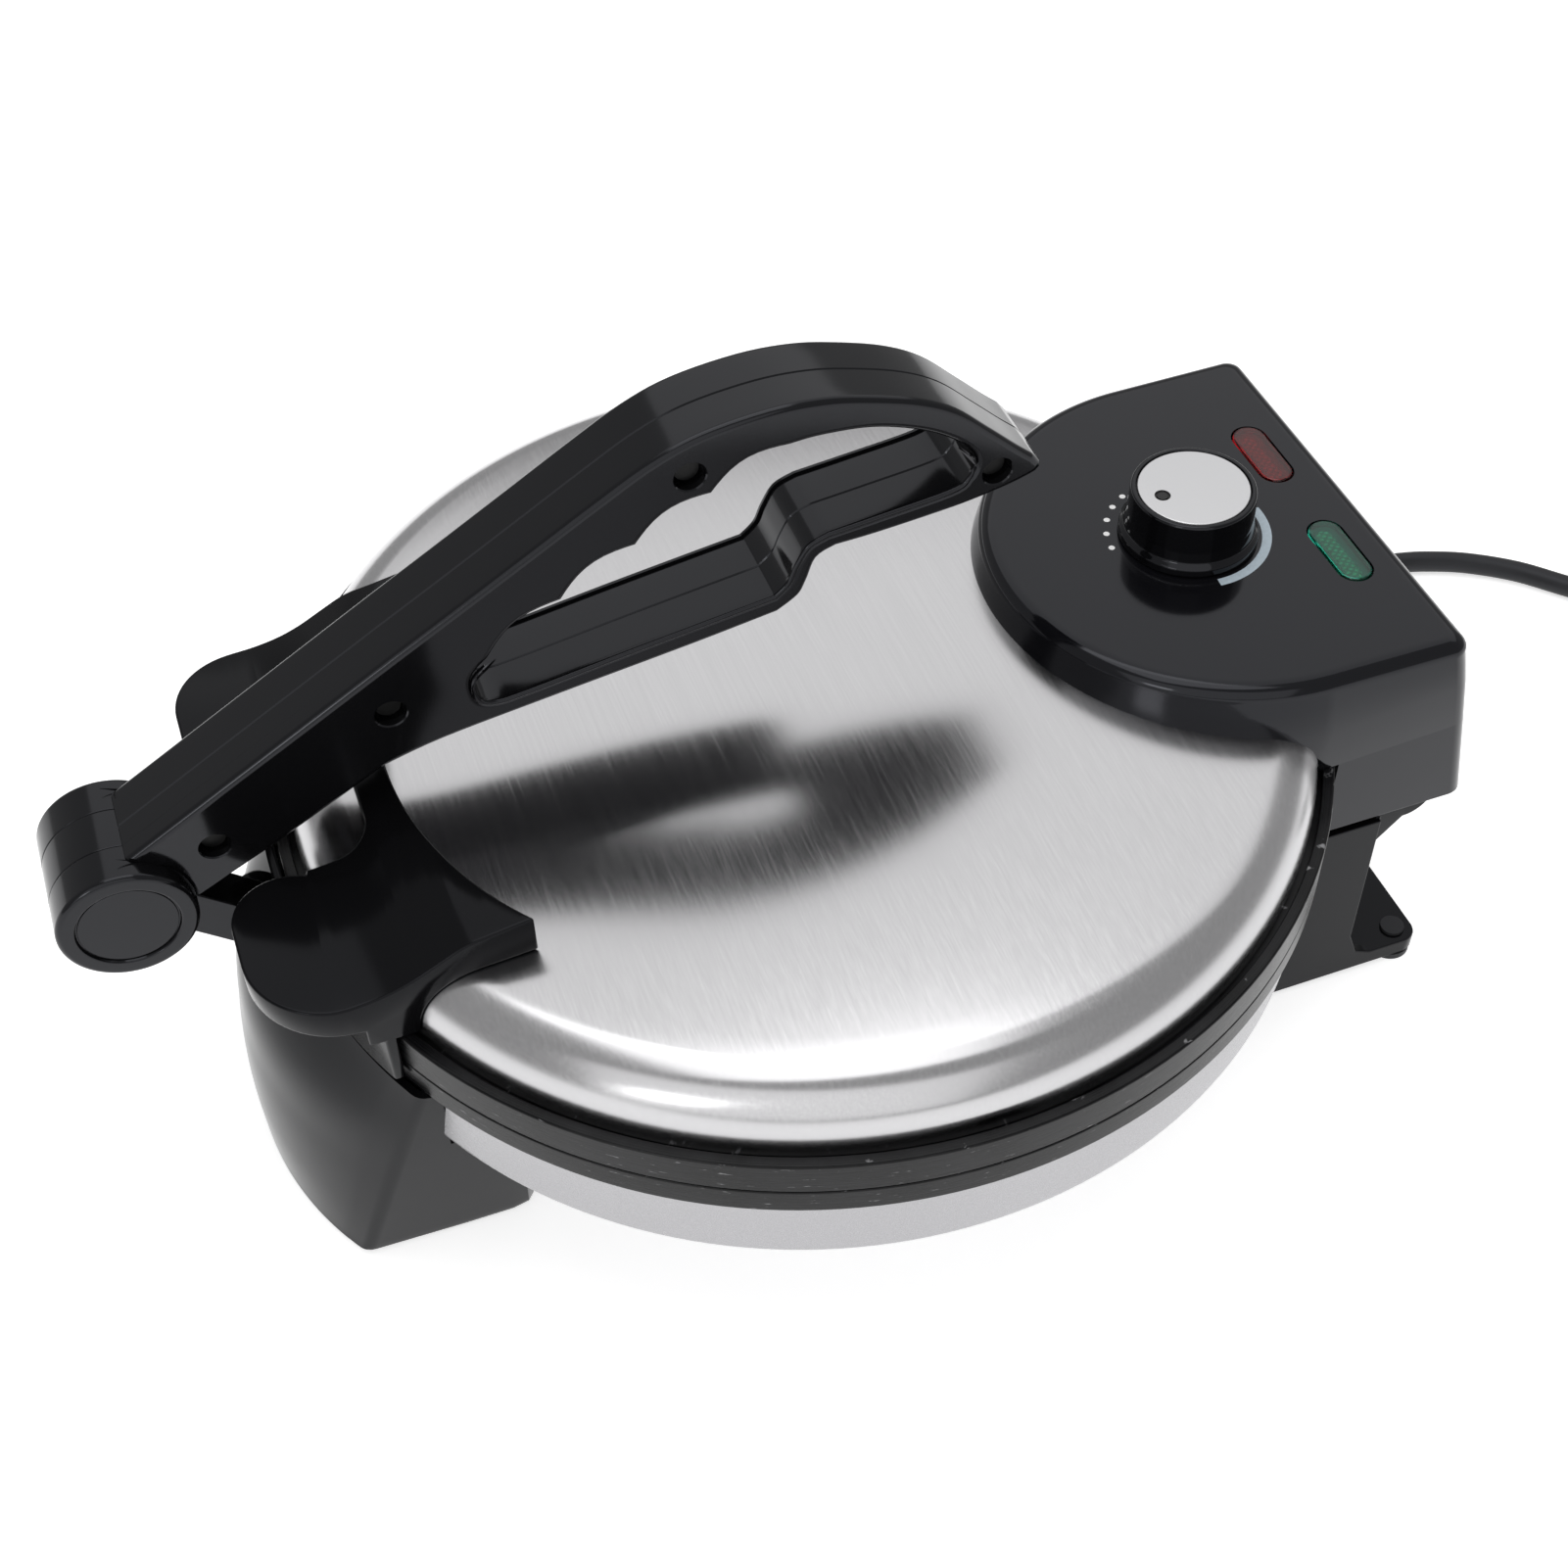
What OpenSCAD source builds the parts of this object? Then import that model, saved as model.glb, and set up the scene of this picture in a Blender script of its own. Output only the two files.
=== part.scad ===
// Countertop flatbread press: two hinged round hot plates, a steel lid with a control
// housing behind it, and a pressing lever on a link at the front.
// Millimetres, +Z up, front towards -Y. The origin is on the table, under the middle of the
// body's box; the plates' centre lies plate_y behind it.

/* [Plates] */
// Outer diameter of the two cast plates
plate_d = 275.4; // [250:0.2:300]
// Height of the lower plate's rim
lower_rim_h = 7.7; // [6:0.1:10]
// Height of the upper plate's rim
upper_rim_h = 10; // [8:0.1:14]
// Gap between the closed rims
parting_gap = 0.3; // [0.3:0.05:0.6]
// Thickness of the plates behind the cooking faces
plate_t = 5; // [4:0.1:6.5]
// Depth of the cooking recess in the lower plate
recess_deep = 1.2; // [0.6:0.1:2]
// Width of the flat rim round the cooking recess
land_w = 9; // [6:0.5:14]
// Diameter of the ring heaters
heater_d = 6.6; // [6:0.1:8]
// Radius of the ring heaters' centre line
heater_ring_r = 84; // [60:1:95]

/* [Body] */
// Height of the pan's underside above the table
body_clear = 55.3; // [45:0.1:70]
// Depth of the steel pan
pan_deep = 24.9; // [20:0.1:35]
// How far the pan's wall stands in from the plates' edge
pan_inset = 2.8; // [1.5:0.1:5]
// Sheet thickness of the pan and the lid
sheet_t = 1; // [0.8:0.1:1.5]
// Corner radius at the pan's bottom
pan_corner_r = 5; // [3:0.5:10]

/* [Lid] */
// How far the lid's wall stands in from the plates' edge
lid_inset = 4.7; // [3:0.1:8]
// Width of the rim left standing outside the lid's groove
groove_lip = 3; // [2:0.1:4]
// How deep the lid's edge sits in the upper plate
groove_deep = 2.7; // [1.5:0.1:4]
// Height of the lid from its edge to its crown
lid_h = 24.5; // [20:0.1:35]
// Radius of the lid's shoulder
lid_shoulder_r = 15; // [10:0.5:18]
// Radius of the lid's shallow dome
lid_dome_r = 1300; // [800:10:3000]

/* [Hinge] */
// How far the hinge axis lies behind the plates' edge
hinge_out = 12.3; // [10.5:0.1:18]
// Height of the hinge axis above the pan's underside
hinge_rise = 17.2; // [16:0.1:20]
// Diameter of the hinge pin
hinge_pin_d = 5; // [4:0.1:6]
// Outer diameter of the hinge bosses
hinge_boss_d = 16; // [14:0.5:18]
// Running clearance round pins and shafts
run_gap = 0.05; // [0.02:0.01:0.1]
// Clearance between moving mouldings
move_gap = 0.5; // [0.3:0.05:1]

/* [Control housing] */
// Width of the housing across its straight sides
house_w = 127.4; // [115:0.2:140]
// How far the centre of the housing's round front lies inside the plates' edge
house_in = 19.7; // [14:0.1:26]
// Radius of the housing's round skirt where it meets the lid
skirt_r = 66; // [60:0.5:70]
// Radius of the housing's top face at its round front
top_r = 61.5; // [56:0.5:64]
// Height of the housing's top edge above the lid's crown
house_rise = 7.5; // [4:0.1:14]
// Crown of the top face
house_crown = 2; // [0:0.1:4]
// Height of the housing's bottom edge above the pan's underside
house_drop = 14.7; // [13:0.1:18]
// How far the housing's back stands behind the plates' edge
house_out = 29.3; // [22:0.1:37]
// Wall of the plastic mouldings
wall = 2.2; // [1.8:0.1:3]

/* [Dial and lamps] */
// How far the dial's axis lies inside the plates' edge
dial_in = 28.8; // [24:0.1:34]
// Diameter of the dial's grip
dial_d = 33; // [28:0.5:38]
// Diameter of the dial's flared foot
dial_foot_d = 38; // [34:0.5:44]
// Height of the dial above the panel
dial_h = 14; // [10:0.5:20]
// Diameter of the dial's metal cap
dial_cap_d = 29.2; // [24:0.2:32]
// Diameter of the thermostat's shaft
shaft_d = 6; // [4:0.1:8]
// Length of the lamp lenses
lamp_l = 24; // [18:0.5:28]
// Width of the lamp lenses
lamp_w = 9; // [7:0.5:11]
// Distance of each lamp from the middle
lamp_x = 21; // [18:0.5:30]
// How far the lamps lie behind the plates' edge
lamp_out = 4.6; // [0:0.1:8]

/* [Lever] */
// Thickness of the whole lever, both halves
lever_w = 24; // [20:0.5:30]
// Radius of the pivot barrel at the lever's front end
barrel_r = 16.8; // [15:0.1:18]
// Length of the barrel
barrel_l = 34; // [30:0.5:40]
// How far the lever's barrel lies in front of the plates' edge
barrel_out = 38; // [34:0.1:42]
// Height of the barrel above the parting line
barrel_rise = 21.9; // [18:0.1:26]
// Pitch of the finger scallops under the grip
finger_pitch = 21; // [19:0.5:23]
// Depth of the finger scallops
finger_deep = 3.2; // [1:0.1:4]
// Diameter of the screw recesses in the right half
recess_d = 7.6; // [6:0.1:9]

/* [Link] */
// Width of the link bar, along the barrel
link_w = 12; // [9:0.5:14]
// Depth of the link bar
link_deep = 11.4; // [9:0.1:13]
// How far the link's lower pin lies in front of the plates' edge
link_out = 7.8; // [6.8:0.1:10]
// Height of the link's lower pivot above the pan's underside
link_rise = 26.5; // [24:0.1:30]
// Diameter of the link's two pins
link_pin_d = 5; // [4:0.1:6]

/* [Lid grip] */
// Half width of the grip at the lid's front edge
grip_half = 62.8; // [55:0.2:70]
// How far the grip's inner edge lies inside the plates' edge
grip_in = 30; // [26:0.1:37]
// Half width of the notch for the lever's barrel
notch_half = 18; // [17.6:0.1:22]
// Radius of the grip's two front lobes
lobe_r = 20; // [16:0.5:24]
// How far the grip's lobes reach in front of the plates' edge
grip_out = 15.3; // [10:0.1:20]
// Thickness of the grip's top skin
grip_t = 3; // [2:0.1:4]

/* [Stand] */
// How far the bracket's face stands in front of the plates' edge
face_out = 22.8; // [18:0.1:28]
// Half width of the front bracket at its top corners
front_top_half = 68; // [64:0.5:72]
// Half width of the front bracket at its bottom corners
front_foot_half = 54; // [48:0.5:60]
// Half width across the rear bracket's sides
rear_half = 63.7; // [58:0.1:68]
// How far the rear bracket's wall stands behind the plates' edge
rear_wall_out = 4.3; // [2.8:0.1:6]
// How far the rear foot plate reaches behind the plates' edge
rear_foot_out = 28.8; // [22:0.1:34]
// Height of the rubber feet's underside to the brackets
foot_h = 2; // [1:0.1:4]

/* [Cord] */
// Diameter of the mains cord
cord_d = 7; // [6.5:0.1:7.4]
// Length of the tapered strain relief
relief_l = 30; // [20:1:40]

/* [Hidden] */

plate_r = plate_d / 2;
pan_r = plate_r - pan_inset;
lid_r = plate_r - lid_inset;

// Places measured out from or in from the plates' edge
hinge_y = plate_r + hinge_out;
house_y = plate_r - house_in;
house_back = plate_r + house_out;
dial_y = plate_r - dial_in;
lamp_y = plate_r + lamp_out;
barrel_y = plate_r + barrel_out;
link_y = plate_r + link_out;
grip_inner_r = plate_r - grip_in;
grip_reach = plate_r + grip_out;
front_face = plate_r + face_out;
rear_wall_y = plate_r + rear_wall_out;
rear_foot_y = plate_r + rear_foot_out;
plate_y = (barrel_y + barrel_r - house_back) / 2;

// Heights above the table, from the pan's underside up
rim_z = body_clear + pan_deep;
lower_face_z = rim_z + lower_rim_h;
upper_face_z = lower_face_z + parting_gap;
upper_rim_z = upper_face_z + upper_rim_h;
lid_edge_z = upper_rim_z - groove_deep;
lid_top_z = lid_edge_z + lid_h;
hinge_z = body_clear + hinge_rise;
house_z = body_clear + house_drop;
house_top_z = lid_top_z + house_rise;
barrel_z = upper_face_z + barrel_rise;
link_z = body_clear + link_rise;

// Clearances of pieces that seat on each other
seat_gap = 0.2;
hug_gap = 0.3;

// Where the housing stands clear of the plates' rims
clear_r = plate_r + 1.3;
knuckle_in = 44;
knuckle_out = 54.5;
boss_in = 55;
boss_out = 62.2;
lid_knuckle_d = 15;
lens_proud = 0.6;

lever_half = lever_w / 2;
fit_gap = 0.1;
pad_r = 6;

smooth = $preview ? 64 : 128;

// Curves through chosen points, and arcs
function lerp(a, b, t) = a + (b - a) * t;
function hermite(a, b, c, d, t) =
    ((2 * b) + (c - a) * t + (2 * a - 5 * b + 4 * c - d) * t * t
    + (3 * b - 3 * c + d - a) * t * t * t) / 2;
function at(p, i) = p[max(0, min(len(p) - 1, i))];
function curve(p, n) = concat(
    [for (i = [0:len(p) - 2]) for (k = [0:n - 1])
        hermite(at(p, i - 1), at(p, i), at(p, i + 1), at(p, i + 2), k / n)],
    [at(p, len(p) - 1)]);
function arc(cx, cy, r, a0, a1, n) =
    [for (k = [0:n]) let (a = lerp(a0, a1, k / n)) [cx + r * cos(a), cy + r * sin(a)]];

// Everything but the cord is placed from the plates' centre
module from_plates() { translate([0, plate_y, 0]) children(); }
module both_sides() { children(); mirror([1, 0, 0]) children(); }
// A round bar along X between two places
module cross_pin(x0, x1, y, z, d) {
    translate([x0, y, z]) rotate([0, 90, 0]) cylinder(h = x1 - x0, d = d, $fn = 48);
}
// A side view, points in Y and Z, made thick along X
module side_slab(x0, x1) {
    translate([x0, 0, 0]) rotate([90, 0, 90]) linear_extrude(x1 - x0) children();
}

// Plates

module lower_plate() {
    face_r = plate_r - land_w;
    web_z = lower_face_z - recess_deep - plate_t;
    color("#3a3a3c") from_plates() rotate_extrude($fn = smooth) polygon([
        [0, web_z], [pan_r - 12, web_z], [pan_r - 8, rim_z], [plate_r - 0.5, rim_z],
        [plate_r, rim_z + 0.5], [plate_r, lower_face_z - 0.5], [plate_r - 0.5, lower_face_z],
        [face_r, lower_face_z], [face_r - recess_deep, lower_face_z - recess_deep],
        [0, lower_face_z - recess_deep]]);
}

module upper_plate() {
    web_z = upper_face_z + plate_t;
    groove_r = plate_r - groove_lip;
    groove_z = lid_edge_z - seat_gap;
    color("#3a3a3c") from_plates() rotate_extrude($fn = smooth) polygon([
        [0, upper_face_z], [plate_r - 0.5, upper_face_z], [plate_r, upper_face_z + 0.5],
        [plate_r, upper_rim_z - 0.5], [plate_r - 0.5, upper_rim_z], [groove_r, upper_rim_z],
        [groove_r, groove_z], [lid_r - 5, groove_z], [lid_r - 7, web_z], [0, web_z]]);
}

// A ring heater lying flat, its two ends bent up or down to the terminals
module ring_heater(z, up) {
    gap_a = 24;
    bend_r = 5;
    tail = 5;
    translate([0, 0, z]) {
        rotate([0, 0, 90 + gap_a / 2])
            rotate_extrude(angle = 360 - gap_a, $fn = smooth)
                translate([heater_ring_r, 0]) circle(d = heater_d, $fn = 24);
        for (s = [-1, 1]) rotate([0, 0, 90 + s * gap_a / 2]) translate([heater_ring_r, 0, 0])
            mirror([0, s > 0 ? 1 : 0, 0]) mirror([0, 0, up < 0 ? 1 : 0]) {
                translate([0, 0, bend_r]) rotate([90, 0, 90]) rotate([0, 0, -90])
                    rotate_extrude(angle = 90, $fn = 64)
                        translate([bend_r, 0]) circle(d = heater_d, $fn = 24);
                translate([0, bend_r, bend_r]) {
                    cylinder(h = tail, d = heater_d, $fn = 24);
                    cylinder(h = tail + 5, d = 3, $fn = 24);
                }
            }
    }
}

module lower_heater() {
    web_z = lower_face_z - recess_deep - plate_t;
    color("#8b8680") from_plates() ring_heater(web_z - heater_d / 2 - seat_gap, -1);
}

module upper_heater() {
    color("#8b8680") from_plates()
        ring_heater(upper_face_z + plate_t + heater_d / 2 + seat_gap, 1);
}

// Pan and lid

module base_pan() {
    n = 6;
    outer = arc(pan_r - pan_corner_r, body_clear + pan_corner_r, pan_corner_r, -90, 0, n);
    inner = arc(pan_r - pan_corner_r, body_clear + pan_corner_r,
        pan_corner_r - sheet_t, 0, -90, n);
    profile = concat([[0, body_clear]], outer, [[pan_r, rim_z], [pan_r - sheet_t, rim_z]],
        inner, [[0, body_clear + sheet_t]]);
    color("#c9cacc") from_plates() difference() {
        rotate_extrude($fn = smooth) polygon(profile);
        bracket_holes(front_screw_places, 1.75);
        bracket_holes(rear_screw_places, 1.75);
        // Wiring slot into the rear bracket
        translate([-12, pan_r - 26, body_clear - 1]) cube([24, 8, sheet_t + 2]);
    }
}

// Height of the lid's outer face at radius r, and its profile out to its edge
dome_c = lid_top_z - lid_dome_r;
shoulder_c = dome_c + sqrt(pow(lid_dome_r - lid_shoulder_r, 2) - pow(lid_r - lid_shoulder_r, 2));
shoulder_a = atan2(shoulder_c - dome_c, lid_r - lid_shoulder_r);
function lid_profile(out) = concat(
    [[0, lid_top_z + out]],
    [for (k = [1:7]) let (r = (lid_dome_r + out), x = (lid_r - lid_shoulder_r) * k / 8)
        [x, dome_c + sqrt(r * r - x * x)]],
    arc(lid_r - lid_shoulder_r, shoulder_c, lid_shoulder_r + out, shoulder_a, 0, 10));

module lid_shell() {
    outer = lid_profile(0);
    inner = lid_profile(-sheet_t);
    n = len(inner);
    back = [for (k = [0:n - 1]) inner[n - 1 - k]];
    color("#cfd0d2") from_plates() difference() {
        rotate_extrude($fn = smooth) polygon(concat(outer,
            [[lid_r, lid_edge_z], [lid_r - sheet_t, lid_edge_z]], back));
        // Openings under the housing for the thermostat and the wiring
        translate([0, dial_y, lid_edge_z + 5]) cylinder(h = lid_h, d = 26, $fn = 64);
        translate([0, dial_y - 24.9, lid_edge_z + 5]) cylinder(h = lid_h, d = 12, $fn = 48);
        for (p = concat(house_screw_places, grip_screw_places))
            translate([p[0], p[1], lid_edge_z + 5]) cylinder(h = lid_h, d = 3.5, $fn = 24);
    }
}

// The space of the lid and the upper plate, grown by a clearance
module lid_space(gap) {
    rotate_extrude($fn = smooth) polygon(concat(lid_profile(gap),
        [[lid_r + gap, lid_edge_z - 30], [0, lid_edge_z - 30]]));
}
module rim_space(r, top) {
    cylinder(h = top, r = r, $fn = smooth);
}

// Lid grip: a smooth skin over the lid's front edge with two lobes, and a guard wall that
// hugs the rims. Its top's heights are measured from the lid's crown.

grip_top = curve([for (p = [[-grip_inner_r + 24, 7.8], [-grip_inner_r + 11.7, 5.6],
        [-grip_inner_r + 4.2, 4.3], [-grip_inner_r - 2.6, 1.1], [-grip_inner_r - 9.3, -2.4],
        [-grip_inner_r - 16.3, -4.8], [-grip_inner_r - 25.3, -6], [-grip_inner_r - 34.3, -5.4],
        [-grip_reach - 1, -4.1]]) [p[0], lid_top_z + p[1]]], 4);
lobe_y = -grip_reach + lobe_r;
notch_y = -grip_inner_r - 8.6;
notch_corner = 8;
guard_in = plate_r + 0.8;
guard_t = 2.4;

module grip_plan(inset, notch_in) {
    half = notch_half + inset;
    difference() {
        union() {
            translate([-grip_half + inset, lobe_y]) square([2 * (grip_half - inset), 70]);
            both_sides() hull() {
                translate([grip_half - lobe_r, lobe_y]) circle(r = lobe_r - inset, $fn = 64);
                translate([notch_half + 14, lobe_y - 6]) circle(r = 14 - inset, $fn = 64);
            }
        }
        circle(r = grip_inner_r + notch_in, $fn = smooth);
        // The notch for the barrel, round in its rear corners
        translate([-half, -200]) square([2 * half, 200 + notch_y - notch_corner - inset]);
        translate([-half + notch_corner, -200])
            square([2 * (half - notch_corner), 200 + notch_y - inset]);
        both_sides() translate([half - notch_corner, notch_y - notch_corner - inset])
            circle(r = notch_corner, $fn = 48);
    }
}

// Side view of the grip: its top skin and its underside in front of the guard wall
module grip_side(drop) {
    side_slab(-grip_half - 5, grip_half + 5) polygon(concat(
        [for (p = grip_top) [p[0], p[1] - drop]],
        [[-grip_reach - 1, upper_rim_z + 9.6], [lobe_y, upper_rim_z + 6.3],
            [lobe_y + 9, upper_rim_z + 5.3], [lobe_y + 14, upper_rim_z - 8],
            [-grip_inner_r + 24, upper_rim_z - 8]]));
}

module lid_grip() {
    guard_z = rim_z + 3;
    tall = grip_top[0][1] - rim_z + 10;
    color("#101012") from_plates() difference() {
        union() {
            // Outer skin less the hollow under the lobes
            difference() {
                intersection() {
                    grip_side(0);
                    translate([0, 0, rim_z]) linear_extrude(tall) grip_plan(0, 0);
                }
                intersection() {
                    translate([0, 0, -1]) grip_side(grip_t);
                    translate([0, 0, rim_z]) linear_extrude(tall) grip_plan(grip_t, grip_t);
                    difference() {
                        translate([0, 0, rim_z - 1])
                            cylinder(h = tall, r = plate_r + 60, $fn = smooth);
                        translate([0, 0, rim_z - 2])
                            cylinder(h = tall + 4, r = guard_in + guard_t, $fn = smooth);
                    }
                }
            }
            // Guard wall round the rims
            intersection() {
                difference() {
                    translate([0, 0, guard_z])
                        cylinder(h = tall, r = guard_in + guard_t, $fn = smooth);
                    translate([0, 0, guard_z - 1])
                        cylinder(h = tall + 2, r = guard_in, $fn = smooth);
                }
                translate([-grip_half, -plate_r - 60, guard_z]) cube([2 * grip_half, 100, tall]);
                grip_envelope();
                // Lower where it crosses the notch
                union() {
                    translate([-200, -200, 0]) cube([400, 200, upper_rim_z - 1]);
                    both_sides() translate([notch_half, -200, 0]) cube([200, 200, 200]);
                }
            }
            // End webs between the guard wall, the skin and the lid
            both_sides() intersection() {
                translate([grip_half - grip_t, lobe_y + 3, upper_rim_z + hug_gap])
                    cube([grip_t, 22, 18]);
                grip_envelope();
            }
        }
        lid_space(seat_gap);
        translate([0, 0, rim_z - hug_gap])
            cylinder(h = upper_rim_z - rim_z + 2 * hug_gap, r = guard_in, $fn = smooth);
        // Slot in the guard wall round the link bar and the bracket's ears
        translate([-guard_slot, -plate_r - 20, rim_z - 5]) cube([2 * guard_slot, 40, 21.8]);
        for (p = grip_screw_places) translate([p[0], p[1], lid_edge_z])
            cylinder(h = lid_h + 3, r = 1.6, $fn = 24);
    }
}

// What lies under the grip's top face
module grip_envelope() {
    side_slab(-grip_half - 5, grip_half + 5) polygon(concat(
        [for (p = grip_top) [p[0], p[1] - 1]],
        [[-grip_reach - 1, body_clear], [-grip_inner_r + 24, body_clear]]));
}

grip_screw_places = [[-45, 3.7 - grip_inner_r], [45, 3.7 - grip_inner_r]];
module grip_screws() { lid_screw_set(grip_screw_places, 6.4); }

// Screws through the lid's sheet up into the grip or the housing, heads inside the lid
function lid_z(r) = dome_c + sqrt(lid_dome_r * lid_dome_r - r * r);
module lid_screw_set(places, reach) {
    color("#8f9194") from_plates() for (p = places)
        translate([p[0], p[1], min(lid_z(norm(p)), shoulder_z(norm(p))) - sheet_t - 0.5]) {
            translate([0, 0, -2]) cylinder(h = 2, d = 7, $fn = 32);
            translate([0, 0, -1]) cylinder(h = reach + 1, d = 2.9, $fn = 24);
        }
}
// Height of the lid's outer face on its shoulder, or above everything inside of it
function shoulder_z(r) = let (x = r - lid_r + lid_shoulder_r)
    x <= 0 ? lid_top_z : shoulder_c + sqrt(lid_shoulder_r * lid_shoulder_r - x * x);

// Stand: front bracket, rear bracket, feet and the screws that hold the pan

screw_in = 22.9;
front_screw_places = [[-34, screw_in - pan_r], [34, screw_in - pan_r]];
rear_screw_places = [[-40, pan_r - screw_in], [40, pan_r - screw_in]];
flange_z = body_clear - seat_gap;
flange_t = 2.6;

module bracket_holes(places, r) {
    for (p = places) translate([p[0], p[1], body_clear - 12])
        cylinder(h = 20, r = r, $fn = 24);
}

// Plan of the front bracket: a round face between two corners, and straight sides
function front_plan(corner_x, corner_y, face_y, rear_y) =
    let (sag = face_y - corner_y, r = (corner_x * corner_x + sag * sag) / (2 * sag),
        a = asin(corner_x / r))
    concat([for (k = [0:10]) let (t = lerp(-a, a, k / 10))
        [r * sin(t), -face_y + r - r * cos(t)]],
        [[corner_x + 1.5, -rear_y - 6], [corner_x - 1, -rear_y - 1.5], [corner_x - 6, -rear_y],
        [-corner_x + 6, -rear_y], [-corner_x + 1, -rear_y - 1.5], [-corner_x - 1.5, -rear_y - 6]]);

front_rear_y = plate_r - 40.7;
// The bracket's height, corner and face at five levels, from its top edge down
front_levels = [for (k = [0:4]) let (t = [0, 0.23, 0.5, 0.76, 1][k])
    [lerp(rim_z - seat_gap, foot_h, t), lerp(front_top_half, front_foot_half, t),
        front_face - lerp(38.1, 16.5, t), front_face - [20.5, 6.5, 2, 0, 0][k]]];

module front_form(inset) {
    hull() for (v = front_levels) translate([0, 0, v[0]])
        linear_extrude(0.01)
            polygon(front_plan(v[1] - inset, v[2] - inset / 2, v[3] - inset,
                front_rear_y + inset));
}

slot_half = link_w / 2 + 0.9;
ear_t = 3.6;
guard_slot = slot_half + ear_t + 0.7;

module front_bracket() {
    color("#121214") from_plates() difference() {
        union() {
            difference() {
                front_form(0);
                // The hollow: open above in front of the pan, under a flange below it
                difference() {
                    translate([0, 0, 0.1]) front_form(wall);
                    translate([0, 0, foot_h - 1]) linear_extrude(wall + 1)
                        difference() {
                            square([200, 400], center = true);
                            translate([-38, -front_face + 20.5]) square([76, 34]);
                        }
                    translate([0, 0, flange_z - flange_t])
                        cylinder(h = 60, r = pan_r + hug_gap, $fn = smooth);
                }
                translate([-38, -front_face + 20.5, foot_h - 1]) cube([76, 34, wall + 2]);
            }
            // Ears for the link's lower pin
            for (s = [-1, 1]) side_slab(min(s * slot_half, s * (slot_half + ear_t)),
                max(s * slot_half, s * (slot_half + ear_t)))
                union() {
                    translate([-link_y, link_z]) circle(d = link_deep, $fn = 48);
                    polygon([[-link_y - link_deep / 2, link_z], [-link_y + link_deep / 2, link_z],
                        [-link_y + 4, link_z - 21.8], [-link_y - 7, link_z - 21.8]]);
                }
        }
        translate([0, 0, flange_z]) cylinder(h = 60, r = pan_r + hug_gap, $fn = smooth);
        translate([-slot_half, -link_y - 16, link_z - 15]) cube([2 * slot_half, 30, 20]);
        cross_pin(-30, 30, -link_y, link_z, link_pin_d + 2 * run_gap);
        bracket_holes(front_screw_places, 1.75);
    }
}

module link_pin() {
    half = slot_half + ear_t;
    color("#b5b7ba") from_plates() {
        cross_pin(-half, half, -link_y, link_z, link_pin_d);
        both_sides() cross_pin(half + 0.1, half + 1.6, -link_y, link_z, 8);
        cross_pin(-half - 0.3, half + 0.3, -link_y, link_z, 3);
    }
}

rear_front_y = rear_wall_y - 43;
module rear_bracket() {
    top_z = house_z - 2.5;
    side_t = 3;
    boss_r = hinge_boss_d / 2;
    color("#121214") from_plates() difference() {
        union() {
            difference() {
                union() {
                    translate([-rear_half, rear_front_y, foot_h])
                        cube([2 * rear_half, rear_wall_y - rear_front_y, top_z - foot_h]);
                    // Foot plate with round corners
                    translate([0, 0, foot_h]) linear_extrude(5.5) union() {
                        translate([-rear_half, rear_front_y + 19])
                            square([2 * rear_half, rear_foot_y - rear_front_y - 24]);
                        translate([-rear_half + 5, rear_front_y + 19])
                            square([2 * rear_half - 10, rear_foot_y - rear_front_y - 19]);
                        both_sides() translate([rear_half - 5, rear_foot_y - 5])
                            circle(r = 5, $fn = 48);
                    }
                    // Ribs that flare the side walls into the foot plate
                    both_sides() side_slab(rear_half - side_t, rear_half)
                        polygon([[rear_wall_y - 1, 7], [rear_wall_y + 9, 7],
                            [rear_wall_y + 3, 10], [rear_wall_y, 18], [rear_wall_y - 1, 18]]);
                }
                // The hollow, open above between the pan and the back wall
                difference() {
                    translate([-rear_half + side_t, rear_front_y + side_t, foot_h + 5.5])
                        cube([2 * (rear_half - side_t), rear_wall_y - rear_front_y - 2 * side_t,
                            body_clear + 30]);
                    translate([0, 0, flange_z - flange_t])
                        cylinder(h = 60, r = pan_r + hug_gap, $fn = smooth);
                }
                translate([-45, rear_front_y + 7, 0])
                    cube([90, rear_wall_y - rear_front_y - 15, 20]);
            }
            // Hinge bosses on webs in front of them
            both_sides() {
                cross_pin(boss_in, boss_out, hinge_y, hinge_z, hinge_boss_d);
                side_slab(boss_in, boss_out) polygon([[rear_wall_y - 4, top_z - 11.5],
                    [rear_wall_y, top_z - 11.5], [rear_wall_y + 4.6, top_z - 6.5],
                    [hinge_y, hinge_z - boss_r + 0.2], [hinge_y, hinge_z],
                    [hinge_y - boss_r + 1.2, hinge_z], [rear_wall_y - 2, top_z - 1.5],
                    [rear_wall_y - 4, top_z - 1.5]]);
            }
        }
        translate([0, 0, flange_z]) cylinder(h = 60, r = pan_r + hug_gap, $fn = smooth);
        translate([0, 0, rim_z - hug_gap]) cylinder(h = 40, r = plate_r + 1.2, $fn = smooth);
        cross_pin(boss_in - 1, boss_out + 2, hinge_y, hinge_z, hinge_pin_d + 2 * run_gap);
        mirror([1, 0, 0])
            cross_pin(boss_in - 1, boss_out + 2, hinge_y, hinge_z, hinge_pin_d + 2 * run_gap);
        bracket_holes(rear_screw_places, 1.75);
        // Hole for the strain relief
        translate([cord_exit[0], rear_wall_y - 10, cord_exit[2]]) rotate([-90, 0, 0])
            cylinder(h = 20, d = relief_neck_d + 0.2, $fn = 48);
        // Holes for the rubber feet's stems
        for (p = rear_foot_places) translate([p[0], p[1], 0]) cylinder(h = 12, d = 6, $fn = 32);
    }
}

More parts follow.
